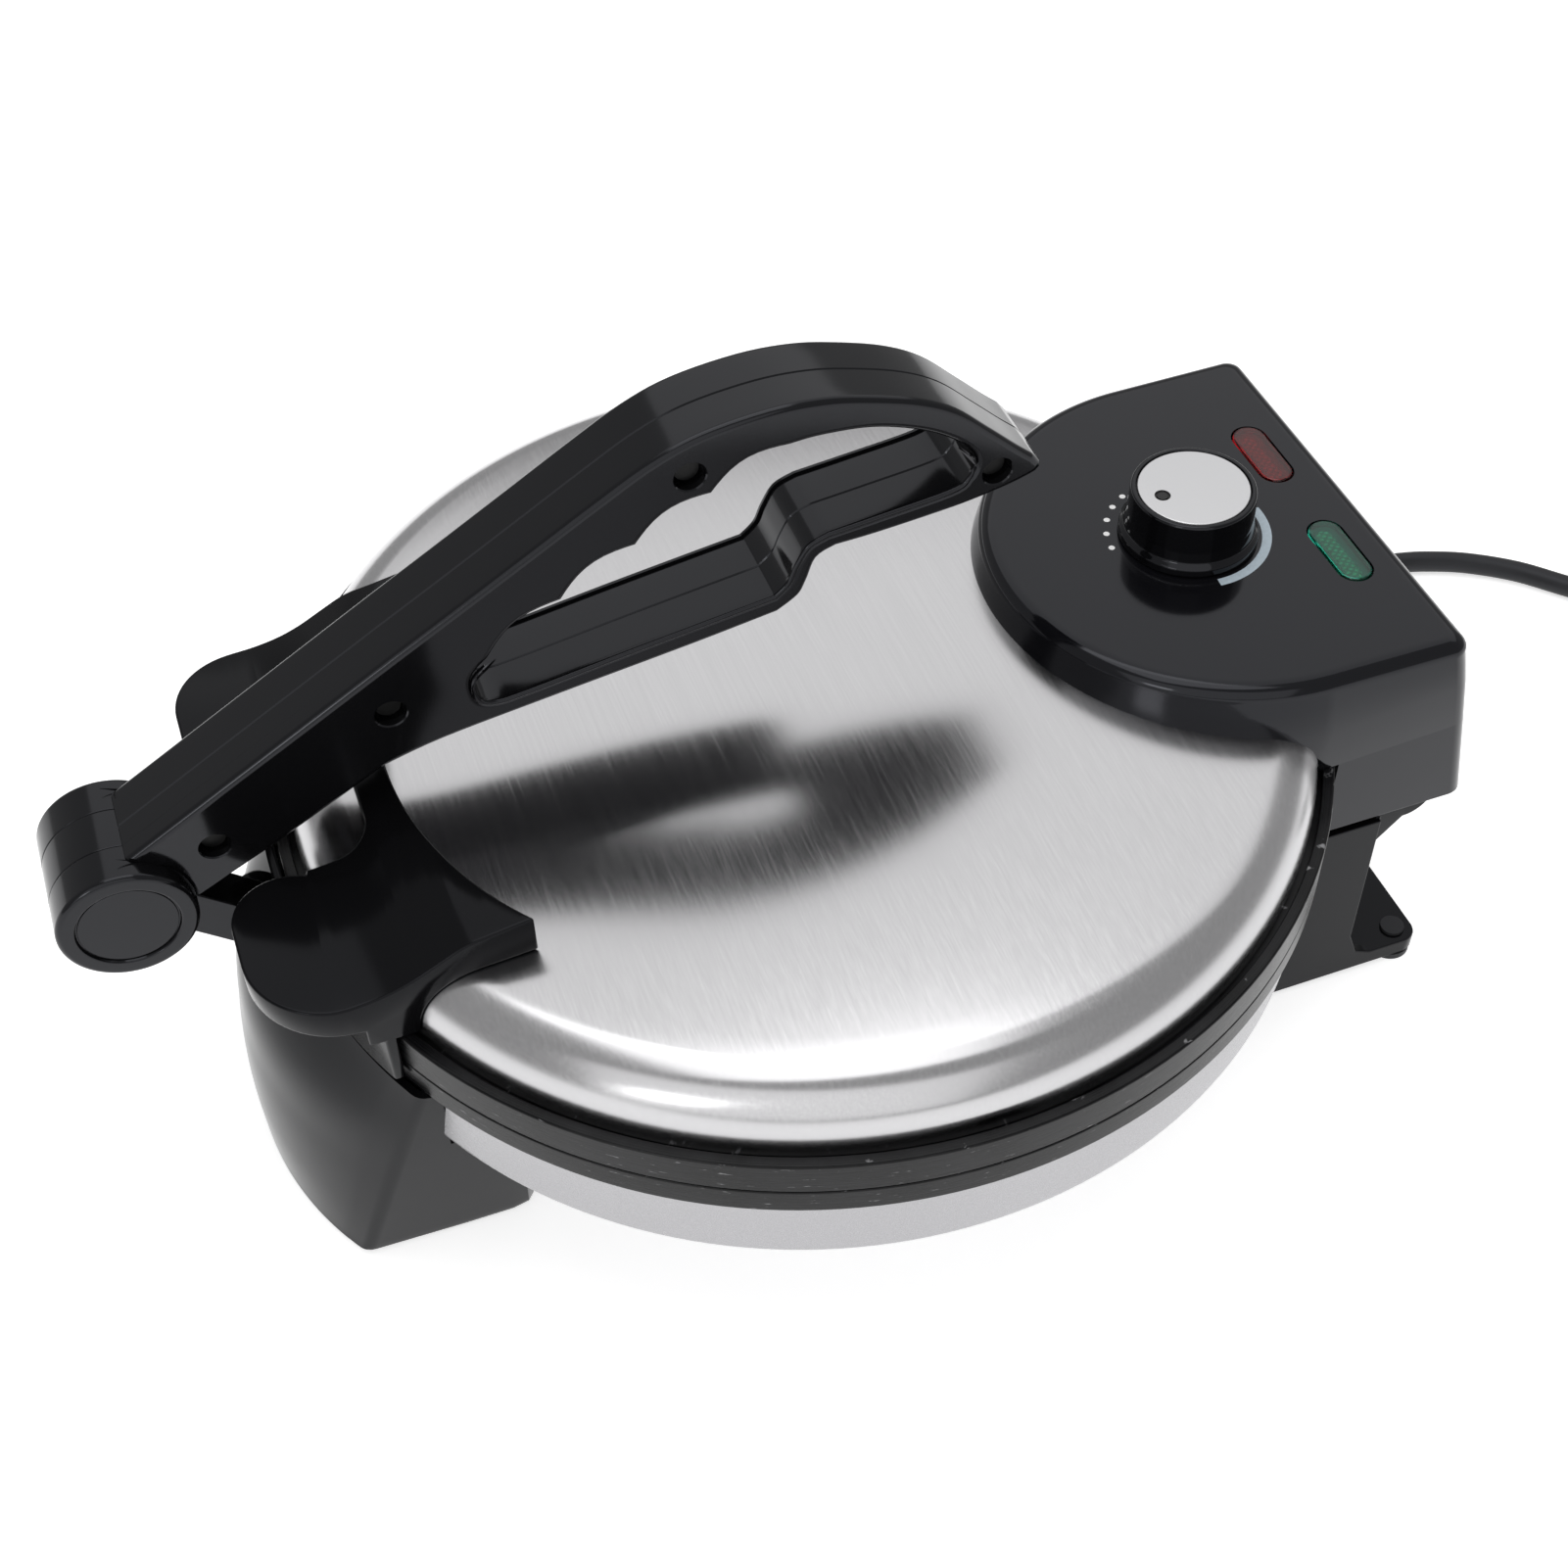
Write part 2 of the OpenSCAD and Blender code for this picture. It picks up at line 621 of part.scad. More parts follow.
rear_foot_places = [[-rear_half + 5.7, rear_foot_y - 6], [rear_half - 5.7, rear_foot_y - 6]];
pad_places = [[-44, -front_face + 24.5], [44, -front_face + 24.5], [-46, -front_rear_y - 5],
    [46, -front_rear_y - 5], [-54, rear_front_y + 5], [54, rear_front_y + 5]];

module rubber_feet() {
    color("#1c1c1c") from_plates() {
        for (p = rear_foot_places) translate([p[0], p[1], 0]) {
            cylinder(h = foot_h, r = pad_r, $fn = 48);
            cylinder(h = foot_h + 5.5, d = 5.8, $fn = 32);
            translate([0, 0, foot_h + 5.5]) cylinder(h = 1, d = 6.8, $fn = 32);
        }
        for (p = pad_places) translate([p[0], p[1], 0])
            cylinder(h = foot_h, r = 4.5, $fn = 48);
    }
}

module bracket_screws() {
    under = flange_z - flange_t;
    color("#8f9194") from_plates() for (p = concat(front_screw_places, rear_screw_places))
        translate([p[0], p[1], under]) {
            translate([0, 0, -2.4]) cylinder(h = 2.3, d = 7, $fn = 32);
            translate([0, 0, -1]) cylinder(h = 7, d = 3.3, $fn = 24);
        }
}

module hinge_pins() {
    color("#b5b7ba") from_plates() both_sides()
        cross_pin(knuckle_in, boss_out - 0.2, hinge_y, hinge_z, hinge_pin_d);
}

// Cord: strain relief, lead across the table, coil, tail and plug

relief_neck_d = 10;
relief_end_d = 8.4;
cord_exit = [-54, rear_wall_y + relief_l, 28];
coil_r = 45.5;
coil_pitch = cord_d + 0.5;
coil_turns = 1.8;
coil_c = [-51, 367];
coil_a = -48;
coil_z = cord_d / 2 + 0.9;
coil_sides = 6;
coil_rings = 24;
// The lead's route on the table, past the strain relief; the last point meets the coil
lead_route = [[-54, plate_y + cord_exit[1], 28], [-55.5, 197.5, 26.5], [-60, 207.5, 22.5],
    [-65.5, 215.5, 17.5], [-72, 223, 12.5], [-77.5, 230, 8], [-82, 238, 5],
    [-84, 247.5, 3.7], [-82, 260, 3.5], [-79, 269.5, 3.5], [-73.5, 281, 3.5],
    [-64, 294, 3.5], [-52, 305, 3.6], [-39, 316.7, 4]];
tail_route = [[-3, 374, 12.6], [3, 384, 14.5], [12, 391, 16.6], [23, 396, 18.2]];

// A tube through rings at the route's points, each ring square to the path there
function unit(v) = v / norm(v);
function heading(p, i) = unit(at(p, i + 1) - at(p, i - 1));
function tube_ring(c, d, r, sides) =
    let (side = unit(cross(d, [0, 0, 1])), up = cross(side, d))
    [for (k = [0:sides - 1]) let (a = 360 * (k + 0.5) / sides)
        c + r * (cos(a) * side + sin(a) * up)];
module tube(p, r, sides, start_dir, end_dir) {
    n = len(p);
    points = [for (i = [0:n - 1])
        each tube_ring(p[i], i == 0 ? start_dir : i == n - 1 ? end_dir : heading(p, i), r, sides)];
    walls = [for (i = [0:n - 2]) for (k = [0:sides - 1]) let (
        a = i * sides + k, b = i * sides + (k + 1) % sides)
        each [[a, b, b + sides], [a, b + sides, a + sides]]];
    ends = [[for (k = [0:sides - 1]) sides - 1 - k], [for (k = [0:sides - 1]) (n - 1) * sides + k]];
    polyhedron(points = points, faces = concat(walls, ends), convexity = 10);
}

// The coil: in along the lower layer, a climb in the half turn, and out along the upper
function ease(t) = t * t * (3 - 2 * t);
coil_span = 2 * coil_turns + 0.5;
function coil_point(u) =
    let (inner = coil_r - coil_pitch * coil_turns, s = (u - coil_turns) / 0.5,
        r = u <= coil_turns ? coil_r - coil_pitch * u
            : s >= 1 ? inner + coil_pitch * (u - coil_turns - 0.5)
            : inner - 2 * sin(180 * s),
        z = coil_z + coil_pitch * (s <= 0 ? 0 : s >= 1 ? 1 : ease(s)),
        a = coil_a + 360 * u)
    [coil_c[0] + r * cos(a), coil_c[1] + r * sin(a), z];
function coil_tangent(u) = unit(coil_point(u + 0.001) - coil_point(u - 0.001));
coil_steps = ceil(coil_span * coil_rings);
coil_in = coil_point(0) - cord_d * coil_tangent(0);
coil_out = coil_point(coil_span) + cord_d * coil_tangent(coil_span);
coil_path = concat([coil_in],
    [for (i = [0:coil_steps]) coil_point(coil_span * i / coil_steps)], [coil_out]);
coil_gap = min([for (i = [0:coil_steps]) for (j = [i + coil_rings / 2:coil_steps])
    norm(coil_path[i] - coil_path[j]) - cord_d]);
echo(coil_least_gap_to_itself = coil_gap);

lead_path = concat(lead_route, [coil_in]);
tail_path = concat([coil_out], tail_route);
plug_dir = unit([1, 0.45, 0]);
plug_at = tail_route[len(tail_route) - 1];

module strain_relief() {
    color("#161617") from_plates()
        translate([cord_exit[0], rear_wall_y, cord_exit[2]]) rotate([-90, 0, 0])
        rotate_extrude($fn = 48) polygon([[0, -7], [6.2, -7], [6.2, -3.4], [relief_neck_d / 2, -3.2],
            [relief_neck_d / 2, 0.2], [6.6, 0.4], [6.6, 3], [5.6, 5],
            [relief_end_d / 2, relief_l], [0, relief_l]]);
}
module mains_cord() {
    color("#1a1a1b") tube(lead_path, cord_d / 2, 12, [0, 1, 0], coil_tangent(0));
}
module cord_coil() {
    color("#1a1a1b") tube(coil_path, cord_d / 2, coil_sides, coil_tangent(0),
        coil_tangent(coil_span));
}
module cord_tail() {
    color("#1a1a1b") tube(tail_path, cord_d / 2, 12, coil_tangent(coil_span), plug_dir);
}

// A soft tie round the coil, where two turns lie on two
module cord_tie() {
    tie_a = 150;
    u = (tie_a - coil_a) / 360;
    r_out = coil_r - coil_pitch * u + cord_d / 2 + 0.5;
    r_in = r_out - coil_pitch - cord_d - 1;
    top = coil_z + coil_pitch + cord_d / 2 + 0.5;
    t = 0.8;
    color("#2a2a2c") translate([coil_c[0], coil_c[1], 0]) rotate([0, 0, tie_a])
        translate([0, 5, 0]) rotate([90, 0, 0]) linear_extrude(10) difference() {
            translate([r_in - t, 0.05]) square([r_out - r_in + 2 * t, top + t - 0.05]);
            translate([r_in, 0.05 + t]) square([r_out - r_in, top - 0.05 - t]);
        }
}

// Round two-pin plug, lying on its side
module plug() {
    body_r = 18;
    color("#161617") translate([plug_at[0], plug_at[1], 18.2])
        rotate([0, 0, atan2(plug_dir[1], plug_dir[0])]) rotate([0, 90, 0]) difference() {
            union() {
                rotate_extrude($fn = 64) polygon([[0, 0], [4.4, 0], [6.4, 16], [9, 20],
                    [14.5, 22.5], [body_r, 28], [body_r, 40], [16.8, 41.2], [0, 41.2]]);
                for (s = [-1, 1]) translate([0, s * 9.5, 41.2 - 1]) {
                    cylinder(h = 18.6, r = 2.4, $fn = 32);
                    translate([0, 0, 18.6]) cylinder(h = 1.2, r1 = 2.4, r2 = 1.4, $fn = 32);
                }
            }
            for (s = [-1, 1]) translate([s * 18.6 - 2.4, -3, 33]) cube([4.8, 6, 12]);
        }
}

// Control housing: round skirt on the lid, straight sides, sloping back

house_half = house_w / 2;
// Levels of the housing's outer form: height, front radius, half width, back
house_levels = [
    [house_z, house_half, house_half, house_back],
    [lid_top_z - 7, skirt_r, house_half, house_back - 7.6],
    [house_top_z - 2.9, top_r + 1.6, house_half - 0.1, house_back - 10.4],
    [house_top_z - 0.7, top_r + 0.5, house_half - 0.9, house_back - 11.2],
    [house_top_z, top_r - 1.5, house_half - 2.9, house_back - 13.2],
    [house_top_z + house_crown * 0.75, top_r - 17, house_half - 18, house_back - 26],
    [house_top_z + house_crown, top_r - 30, house_half - 31, house_back - 38]];

function house_plan(front_r, half, back, inset) = let (c = 5 - min(inset, 3))
    concat(arc(0, house_y, front_r - inset, 180, 360, 16),
        arc(half - inset - c, back - inset - c, c, 0, 90, 4),
        arc(-half + inset + c, back - inset - c, c, 90, 180, 4));
module house_form(inset, to_level, lift) {
    hull() for (i = [0:to_level]) let (v = house_levels[i])
        translate([0, 0, v[0] + (i == 0 ? 0 : lift)])
            linear_extrude(0.01) polygon(house_plan(v[1], v[2], v[3], inset));
}

house_screw_places = [[-40, dial_y - 18.9], [40, dial_y - 18.9], [0, dial_y - 42.9]];
underside_screw_places = [[-30, house_back - 12], [30, house_back - 12]];
ceiling_z = house_top_z - wall;
shaft_hole_d = shaft_d + 1;

module stadium(l, w, h) {
    linear_extrude(h) union() {
        square([l - w, w], center = true);
        both_sides() translate([(l - w) / 2, 0]) circle(d = w, $fn = 48);
    }
}

module control_housing() {
    skin = 1.2;
    boss_clear = hinge_boss_d / 2 + move_gap;
    color("#101012") from_plates() difference() {
        union() {
            difference() {
                house_form(0, 6, 0);
                translate([0, 0, -0.1]) house_form(wall, 4, -wall);
            }
            // Posts for the screws from the lid and from the underside
            for (p = house_screw_places) translate([p[0], p[1], lid_edge_z])
                cylinder(h = ceiling_z + 1.2 - lid_edge_z, r = 4, $fn = 32);
            for (p = underside_screw_places) translate([p[0], p[1], house_z + wall + 0.1])
                cylinder(h = ceiling_z + 1.1 - house_z - wall, r = 4, $fn = 32);
        }
        lid_space(seat_gap);
        rim_space(clear_r, upper_rim_z + hug_gap);
        // Dial shaft and lamp windows
        translate([0, dial_y, ceiling_z - 2]) cylinder(h = 12, d = shaft_hole_d, $fn = 48);
        for (s = [-1, 1]) translate([s * lamp_x, lamp_y, ceiling_z - 2])
            stadium(lamp_l + 2 * seat_gap, lamp_w + 2 * seat_gap, 12);
        // Pockets inside the walls for the hinge bosses, and notches over the legs' tops
        both_sides() cross_pin(boss_in - 2, house_half - skin, hinge_y, hinge_z, 2 * boss_clear);
        for (p = house_screw_places) translate([p[0], p[1], lid_edge_z])
            cylinder(h = lid_h + 8, r = 1.6, $fn = 24);
        for (p = underside_screw_places) translate([p[0], p[1], house_z])
            cylinder(h = 14, r = 1.6, $fn = 24);
    }
}

module housing_underside() {
    inset = wall + 0.15;
    keep_in = boss_in - move_gap;
    color("#141416") from_plates() difference() {
        union() {
            translate([0, 0, house_z + 0.1]) linear_extrude(wall) intersection() {
                polygon(house_plan(house_half, house_half, house_back - 0.6, inset));
                translate([-100, house_y - 18]) square([200, 100]);
            }
            both_sides() {
                cross_pin(knuckle_in, knuckle_out, hinge_y, hinge_z, lid_knuckle_d);
                translate([knuckle_in, hinge_y - lid_knuckle_d / 2, house_z + 0.1])
                    cube([knuckle_out - knuckle_in, lid_knuckle_d, 4]);
            }
        }
        rim_space(clear_r + 0.4, upper_rim_z);
        both_sides() translate([keep_in, hinge_y - 10.5, house_z - 8]) cube([20, 19, 30]);
        cross_pin(-60, 60, hinge_y, hinge_z, hinge_pin_d + 2 * run_gap);
        for (p = underside_screw_places) translate([p[0], p[1], house_z - 2])
            cylinder(h = 12, r = 1.7, $fn = 24);
    }
}

module underside_screws() {
    color("#8f9194") from_plates() for (p = underside_screw_places)
        translate([p[0], p[1], house_z]) {
            translate([0, 0, -1.6]) cylinder(h = 1.6, d = 6, $fn = 32);
            translate([0, 0, -1]) cylinder(h = 12, d = 2.7, $fn = 24);
        }
}

module thermostat() {
    flange_top = ceiling_z - 0.1;
    color("#9c9384") from_plates() translate([0, dial_y, 0]) difference() {
        union() {
            translate([-16, -9, flange_top - 1.6]) cube([32, 18, 1.6]);
            translate([0, 0, flange_top - 15]) cylinder(h = 14, d = 22, $fn = 64);
            translate([-9, -12, flange_top - 7.6]) cube([18, 5, 6.2]);
            for (s = [-1, 1]) translate([s * 5 - 1.5, -17, flange_top - 5]) cube([3, 7, 0.8]);
        }
        translate([0, 0, flange_top - 10]) cylinder(h = 12, d = shaft_d + 2 * run_gap, $fn = 48);
    }
}

module lamp(x, shade) {
    top = house_top_z + house_crown * 0.75 + lens_proud - 0.4;
    color(shade) from_plates() translate([x, lamp_y, 0]) {
        translate([0, 0, ceiling_z - 1.9]) stadium(lamp_l, lamp_w, top - ceiling_z + 1.9);
        translate([0, 0, ceiling_z - 1.9]) stadium(lamp_l + 3, lamp_w + 3, 1.8);
    }
}
module lamp_red() { lamp(-lamp_x, "#8c1410"); }
module lamp_green() { lamp(lamp_x, "#0c6b45"); }

module lamp_bulbs() {
    color("#e8c9a8") from_plates() for (s = [-1, 1])
        translate([s * lamp_x - 7, lamp_y, ceiling_z - 5.2]) rotate([0, 90, 0]) {
            cylinder(h = 12, d = 6, $fn = 32);
            translate([0, 0, 12]) sphere(d = 6, $fn = 32);
            for (e = [-1, 1]) translate([0, e * 1.5, -5]) cylinder(h = 6, d = 0.9, $fn = 16);
        }
}

// Dial

dial_z = house_top_z + house_crown + 0.4;
module dial_knob() {
    r = dial_d / 2;
    foot_r = dial_foot_d / 2;
    cap_r = dial_cap_d / 2 + 0.1;
    top = dial_z + dial_h;
    color("#0e0e10") from_plates() translate([0, dial_y, 0]) difference() {
        rotate_extrude($fn = smooth) polygon(concat(
            [[0, dial_z], [foot_r - 0.6, dial_z]],
            curve([[foot_r, dial_z + 0.5], [foot_r - 0.3, dial_z + 1.8], [r + 0.8, dial_z + 3.6],
                [r + 0.3, dial_z + 5.2], [r, dial_z + 8]], 3),
            arc(r - 1.4, top - 1.6, 1.2, 0, 90, 5),
            [[cap_r + 0.4, top - 0.4], [cap_r, top - 0.8], [cap_r, top - 1.6], [0, top - 1.6]]));
        translate([0, 0, dial_z - 1]) cylinder(h = 10, d = shaft_d + 0.1, $fn = 48);
    }
}
module dial_cap() {
    top = dial_z + dial_h;
    color("#c8c9cb") from_plates() translate([0, dial_y, top - 1.6]) difference() {
        rotate_extrude($fn = smooth) polygon([[0, 0], [dial_cap_d / 2, 0],
            [dial_cap_d / 2, 1.1], [dial_cap_d / 2 - 0.4, 1.5], [0, 1.5]]);
        // Pointer dimple towards the front
        translate([0, -9, 1]) cylinder(h = 2, r = 1.6, $fn = 32);
    }
}
module thermostat_shaft() {
    foot = ceiling_z - 9.8;
    color("#b5b7ba") from_plates() translate([0, dial_y, foot])
        cylinder(h = dial_z + 8.8 - foot, d = shaft_d, $fn = 48);
}

module lid_screws() { lid_screw_set(house_screw_places, 8); }

// Link: a bar from the base to the drum inside the lever's barrel

link_vec = [-barrel_y + link_y, barrel_z - link_z];
link_a = atan2(link_vec[1], link_vec[0]);
drum_half = link_w / 2 + 0.2;
drum_gap = 0.3;

module link_bar() {
    color("#17171a") from_plates() difference() {
        union() {
            side_slab(-link_w / 2, link_w / 2) union() {
                translate([-link_y, link_z]) circle(d = link_deep, $fn = 64);
                translate([-link_y, link_z]) rotate(link_a)
                    translate([0, -link_deep / 2]) square([norm(link_vec), link_deep]);
            }
            cross_pin(-drum_half, drum_half, -barrel_y, barrel_z, 2 * barrel_r);
        }
        cross_pin(-20, 20, -link_y, link_z, link_pin_d + 2 * run_gap);
        cross_pin(-20, 20, -barrel_y, barrel_z, link_pin_d + 2 * run_gap);
    }
}

module barrel_pin() {
    color("#b5b7ba") from_plates()
        cross_pin(-barrel_l / 2 + 2, barrel_l / 2 - 2, -barrel_y, barrel_z, link_pin_d);
}

// Lever: two mouldings joined on the middle plane. Its points are Y and Z distances from
// the barrel's centre.

lever_top = concat([[4, barrel_r - 0.2], [73.7, 57.9], [89.2, 66.9]],
    curve([[89.2, 66.9], [109.7, 79], [124.7, 87.9], [137.7, 95.1], [149.7, 99.3], [165.7, 101.2],
        [178.7, 100.5], [189.7, 97.9], [201.7, 93.7], [211.2, 88.2], [220.4, 79.6], [228.2, 71.9],
        [233.9, 66.7]], 3));
lever_under = concat([[234.3, 65.5], [232.2, 63.4]],
    curve([[232.2, 63.4], [224.7, 61.1], [211.7, 58.8], [192.6, 57], [181.2, 56.5]], 2),
    curve([[181.2, 56.5], [176.5, 54.3], [174, 48.2], [171.7, 43.9], [166.2, 40.3]], 3),
    curve([[166.2, 40.3], [144.3, 36.9], [107.7, 31.9], [81.7, 28.1], [67.1, 24.4]], 2),
    [[36.9, 7.7], [16.5, -3]]);
cusps = [for (k = [0:4])
    let (t = k / 4) [95.7 + (finger_pitch * 4 - 9.5) * t, 49.5 + 49 * t - 9 * t * t]];
// A shallow round scallop between two cusps
function scallop(a, b, deep) = let (d = b - a, n = [-d[1], d[0]] / norm(d))
    [for (k = [0:6]) a + d * k / 6 + n * deep * sin(180 * k / 6)];
handle_hole = concat(
    curve([[165, 46.2], [131.7, 41.5], [103.7, 37.2], [95.2, 36.6], [91.7, 38.9], [91.4, 44.9],
        cusps[0]], 3),
    [for (k = [0:3]) each scallop(cusps[k], cusps[k + 1], finger_deep)],
    curve([cusps[4], [177.7, 89.8], [189.7, 88.5], [200.7, 84.7], [208.7, 80.1], [214.3, 75.1],
        [215.9, 71.3], [214.3, 67.5], [210.2, 65.2], [192.6, 63.1], [179.2, 61.7]], 3),
    curve([[179.2, 61.7], [173.9, 59.5], [170.7, 54.5], [168.5, 49.5], [165, 46.2]], 3));

module lever_side() {
    difference() {
        polygon(concat(lever_top, lever_under));
        polygon(handle_hole);
    }
}

// One half of the lever: its side plate, its share of the barrel, and the drum's hollow
module lever_half_solid() {
    end_x = barrel_l / 2;
    cap_deep = 1.4;
    difference() {
        union() {
            side_slab(fit_gap / 4, lever_half) translate([-barrel_y, barrel_z]) lever_side();
            cross_pin(drum_half + drum_gap, end_x, -barrel_y, barrel_z, 2 * barrel_r);
        }
        cross_pin(-1, drum_half + drum_gap, -barrel_y, barrel_z, 2 * (barrel_r + drum_gap));
        cross_pin(end_x - cap_deep, end_x + 1, -barrel_y, barrel_z, 2 * barrel_r - 3.2);
        cross_pin(0, end_x, -barrel_y, barrel_z, link_pin_d + 2 * run_gap);
    }
}

screw_deep = 5;
lever_screw_spots = [[24.3, 13.6], [70.8, 40.9], [146.3, 88.5], [222.3, 67]];
lever_screws_at = [for (p = lever_screw_spots) [p[0] - barrel_y, p[1] + barrel_z]];

module lever_right() {
    color("#0f0f11") from_plates() difference() {
        lever_half_solid();
        for (p = lever_screws_at) {
            cross_pin(lever_half - screw_deep, lever_half + 1, p[0], p[1], recess_d);
            cross_pin(-1, lever_half, p[0], p[1], 3.4);
        }
    }
}
module lever_left() {
    color("#0f0f11") from_plates() mirror([1, 0, 0]) difference() {
        lever_half_solid();
        for (p = lever_screws_at) cross_pin(-1, 8, p[0], p[1], 2.8);
    }
}
module lever_screws() {
    color("#8f9194") from_plates() for (p = lever_screws_at) {
        cross_pin(lever_half - screw_deep + 0.1, lever_half - screw_deep + 2, p[0], p[1], 6);
        cross_pin(-7, lever_half - screw_deep + 1, p[0], p[1], 2.7);
    }
}
module barrel_caps() {
    r = barrel_r - 1.7;
    x = barrel_l / 2 - 1.35;
    color("#121214") from_plates() both_sides() translate([x, -barrel_y, barrel_z])
        rotate([0, 90, 0]) rotate_extrude($fn = smooth) polygon([[0, 0], [r, 0], [r, 1.15],
            [r * 0.86, 1.35], [r * 0.8, 1.35], [r * 0.78, 0.75], [r * 0.74, 0.75],
            [r * 0.72, 1.15], [0, 1.25]]);
}

base_pan();
lower_plate();
lower_heater();
front_bracket();
rear_bracket();
bracket_screws();
rubber_feet();
hinge_pins();
link_pin();
strain_relief();
mains_cord();
cord_coil();
cord_tail();
cord_tie();
plug();
lid_shell();
upper_plate();
upper_heater();
lid_grip();
grip_screws();
lid_screws();
control_housing();
housing_underside();
underside_screws();
thermostat();
lamp_red();
lamp_green();
lamp_bulbs();
dial_knob();
dial_cap();
thermostat_shaft();
link_bar();
barrel_pin();
lever_right();
lever_left();
lever_screws();
barrel_caps();
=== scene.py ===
# %% [markdown]
# # An electric flatbread press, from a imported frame
#
# The press has a steel pan and a domed steel lid round two cast plates, black mouldings
# at both ends, a dial with two lamps, and a long lever with a looped grip. The CAD model
# says where each piece is and how it moves. This script makes what shows: rounded edges,
# brushed steel, gloss plastic, lenses and the cord's smooth run.

from math import asin, atan2, cos, pi, radians, sin, sqrt

import bmesh
import bpy
from mathutils import Matrix, Vector


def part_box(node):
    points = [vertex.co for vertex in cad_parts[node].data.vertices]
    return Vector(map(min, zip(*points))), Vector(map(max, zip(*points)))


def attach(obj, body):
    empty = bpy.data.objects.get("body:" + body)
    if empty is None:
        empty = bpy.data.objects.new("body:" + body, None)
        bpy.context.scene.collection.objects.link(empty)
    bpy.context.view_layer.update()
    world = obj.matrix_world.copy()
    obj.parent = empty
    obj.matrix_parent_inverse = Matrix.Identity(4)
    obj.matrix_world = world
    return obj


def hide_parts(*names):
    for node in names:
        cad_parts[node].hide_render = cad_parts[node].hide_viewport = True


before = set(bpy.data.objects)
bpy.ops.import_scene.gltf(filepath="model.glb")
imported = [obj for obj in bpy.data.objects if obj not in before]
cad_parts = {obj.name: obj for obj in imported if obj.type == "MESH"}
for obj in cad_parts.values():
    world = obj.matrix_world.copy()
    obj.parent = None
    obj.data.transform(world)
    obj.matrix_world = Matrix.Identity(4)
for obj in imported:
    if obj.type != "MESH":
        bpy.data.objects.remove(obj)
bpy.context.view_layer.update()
MM = 0.001

# %% [markdown]
# ## Where things are
#
# All shapes below are drawn in millimetres round the plates' centre, because the lid, the
# pan and the rims are turned round that line. The frame gives the centre, the radii and
# the main heights. A size that it doesn't say stands by name beside its piece.

# %% Read the main places


def spans(node):
    """Lowest and highest corner of a CAD node in millimetres, about the plates' centre."""
    low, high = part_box(node)
    shift = Vector((0, plates_y, 0))
    return low / MM - shift, high / MM - shift


plates_y = 0.0
low, high = spans("upper_plate")
plates_y = (low.y + high.y) / 2
plate_r = (high.x - low.x) / 2
upper_face_z, upper_rim_z = low.z, high.z
low, high = spans("lower_plate")
lower_face_z = high.z
low, high = spans("base_pan")
pan_r, body_z, rim_z = high.x, low.z, high.z
low, high = spans("lid_shell")
lid_r, lid_edge_z, lid_top_z = high.x, low.z, high.z
low, high = spans("control_housing")
house_z, house_peak_z, house_back = low.z, high.z, high.y
low, high = spans("barrel_pin")
barrel_y, barrel_z = (low.y + high.y) / 2, (low.z + high.z) / 2
low, high = spans("lever_right")
barrel_r, barrel_end_x = barrel_y - low.y, high.x
low, high = spans("link_pin")
link_y, link_z = (low.y + high.y) / 2, (low.z + high.z) / 2
low, high = spans("dial_cap")
dial_y = (low.y + high.y) / 2
dial_cap_r, dial_top_z = (high.x - low.x) / 2, high.z
print(f"plates' centre {plates_y:.2f} mm, plate r {plate_r:.1f}, lid r {lid_r:.1f}")

# %% [markdown]
# ## The camera
#
# A long lens flattens the view, as in a shop's picture. The camera stands high on the
# press's right, a little in front of its middle, and its roll is the picture's small lean.

# %% Stand the camera
CAMERA_AZIMUTH = 70.94
CAMERA_ELEVATION = 47.53
CAMERA_DISTANCE = 608.34
CAMERA_ROLL = -1.6
LENS_MM, SENSOR_MM = 51.93, 36
AIM = Vector((0, -5.18, 75.5))

a, e = radians(CAMERA_AZIMUTH), radians(CAMERA_ELEVATION)
back = Vector((sin(a) * cos(e), -cos(a) * cos(e), sin(e)))
right = Vector((cos(a), sin(a), 0))
up = back.cross(right)
turn = Matrix.Rotation(radians(CAMERA_ROLL), 3, back)
right, up = turn @ right, turn @ up
camera_data = bpy.data.cameras.new("camera")
camera_data.lens = LENS_MM
camera_data.sensor_width = SENSOR_MM
camera_data.clip_start, camera_data.clip_end = 0.01, 20
camera = bpy.data.objects.new("camera", camera_data)
bpy.context.scene.collection.objects.link(camera)
eye = (AIM + back * CAMERA_DISTANCE + Vector((0, plates_y, 0))) * MM
basis = Matrix((right, up, back)).transposed().to_4x4()
camera.matrix_world = Matrix.Translation(eye) @ basis
bpy.context.scene.camera = camera
bpy.context.scene.view_settings.view_transform = "Standard"
print("camera at", [round(v, 4) for v in eye])

# %% [markdown]
# ## Node helpers
#
# Every finish is a small tree of nodes round one Principled shader. A few helpers keep the
# trees short: they add a node and fill its sockets, start a material, make noise on Object
# coordinates, spread a value over a range, and lift the surface.

# %% Material helpers


def node(tree, kind, inputs=None, **settings):
    """Adds a node, sets its properties, and fills its sockets with values or links."""
    made = tree.nodes.new(kind)
    for key, value in settings.items():
        setattr(made, key, value)
    for key, value in (inputs or {}).items():
        if isinstance(value, bpy.types.NodeSocket):
            tree.links.new(value, made.inputs[key])
        else:
            made.inputs[key].default_value = value
    return made


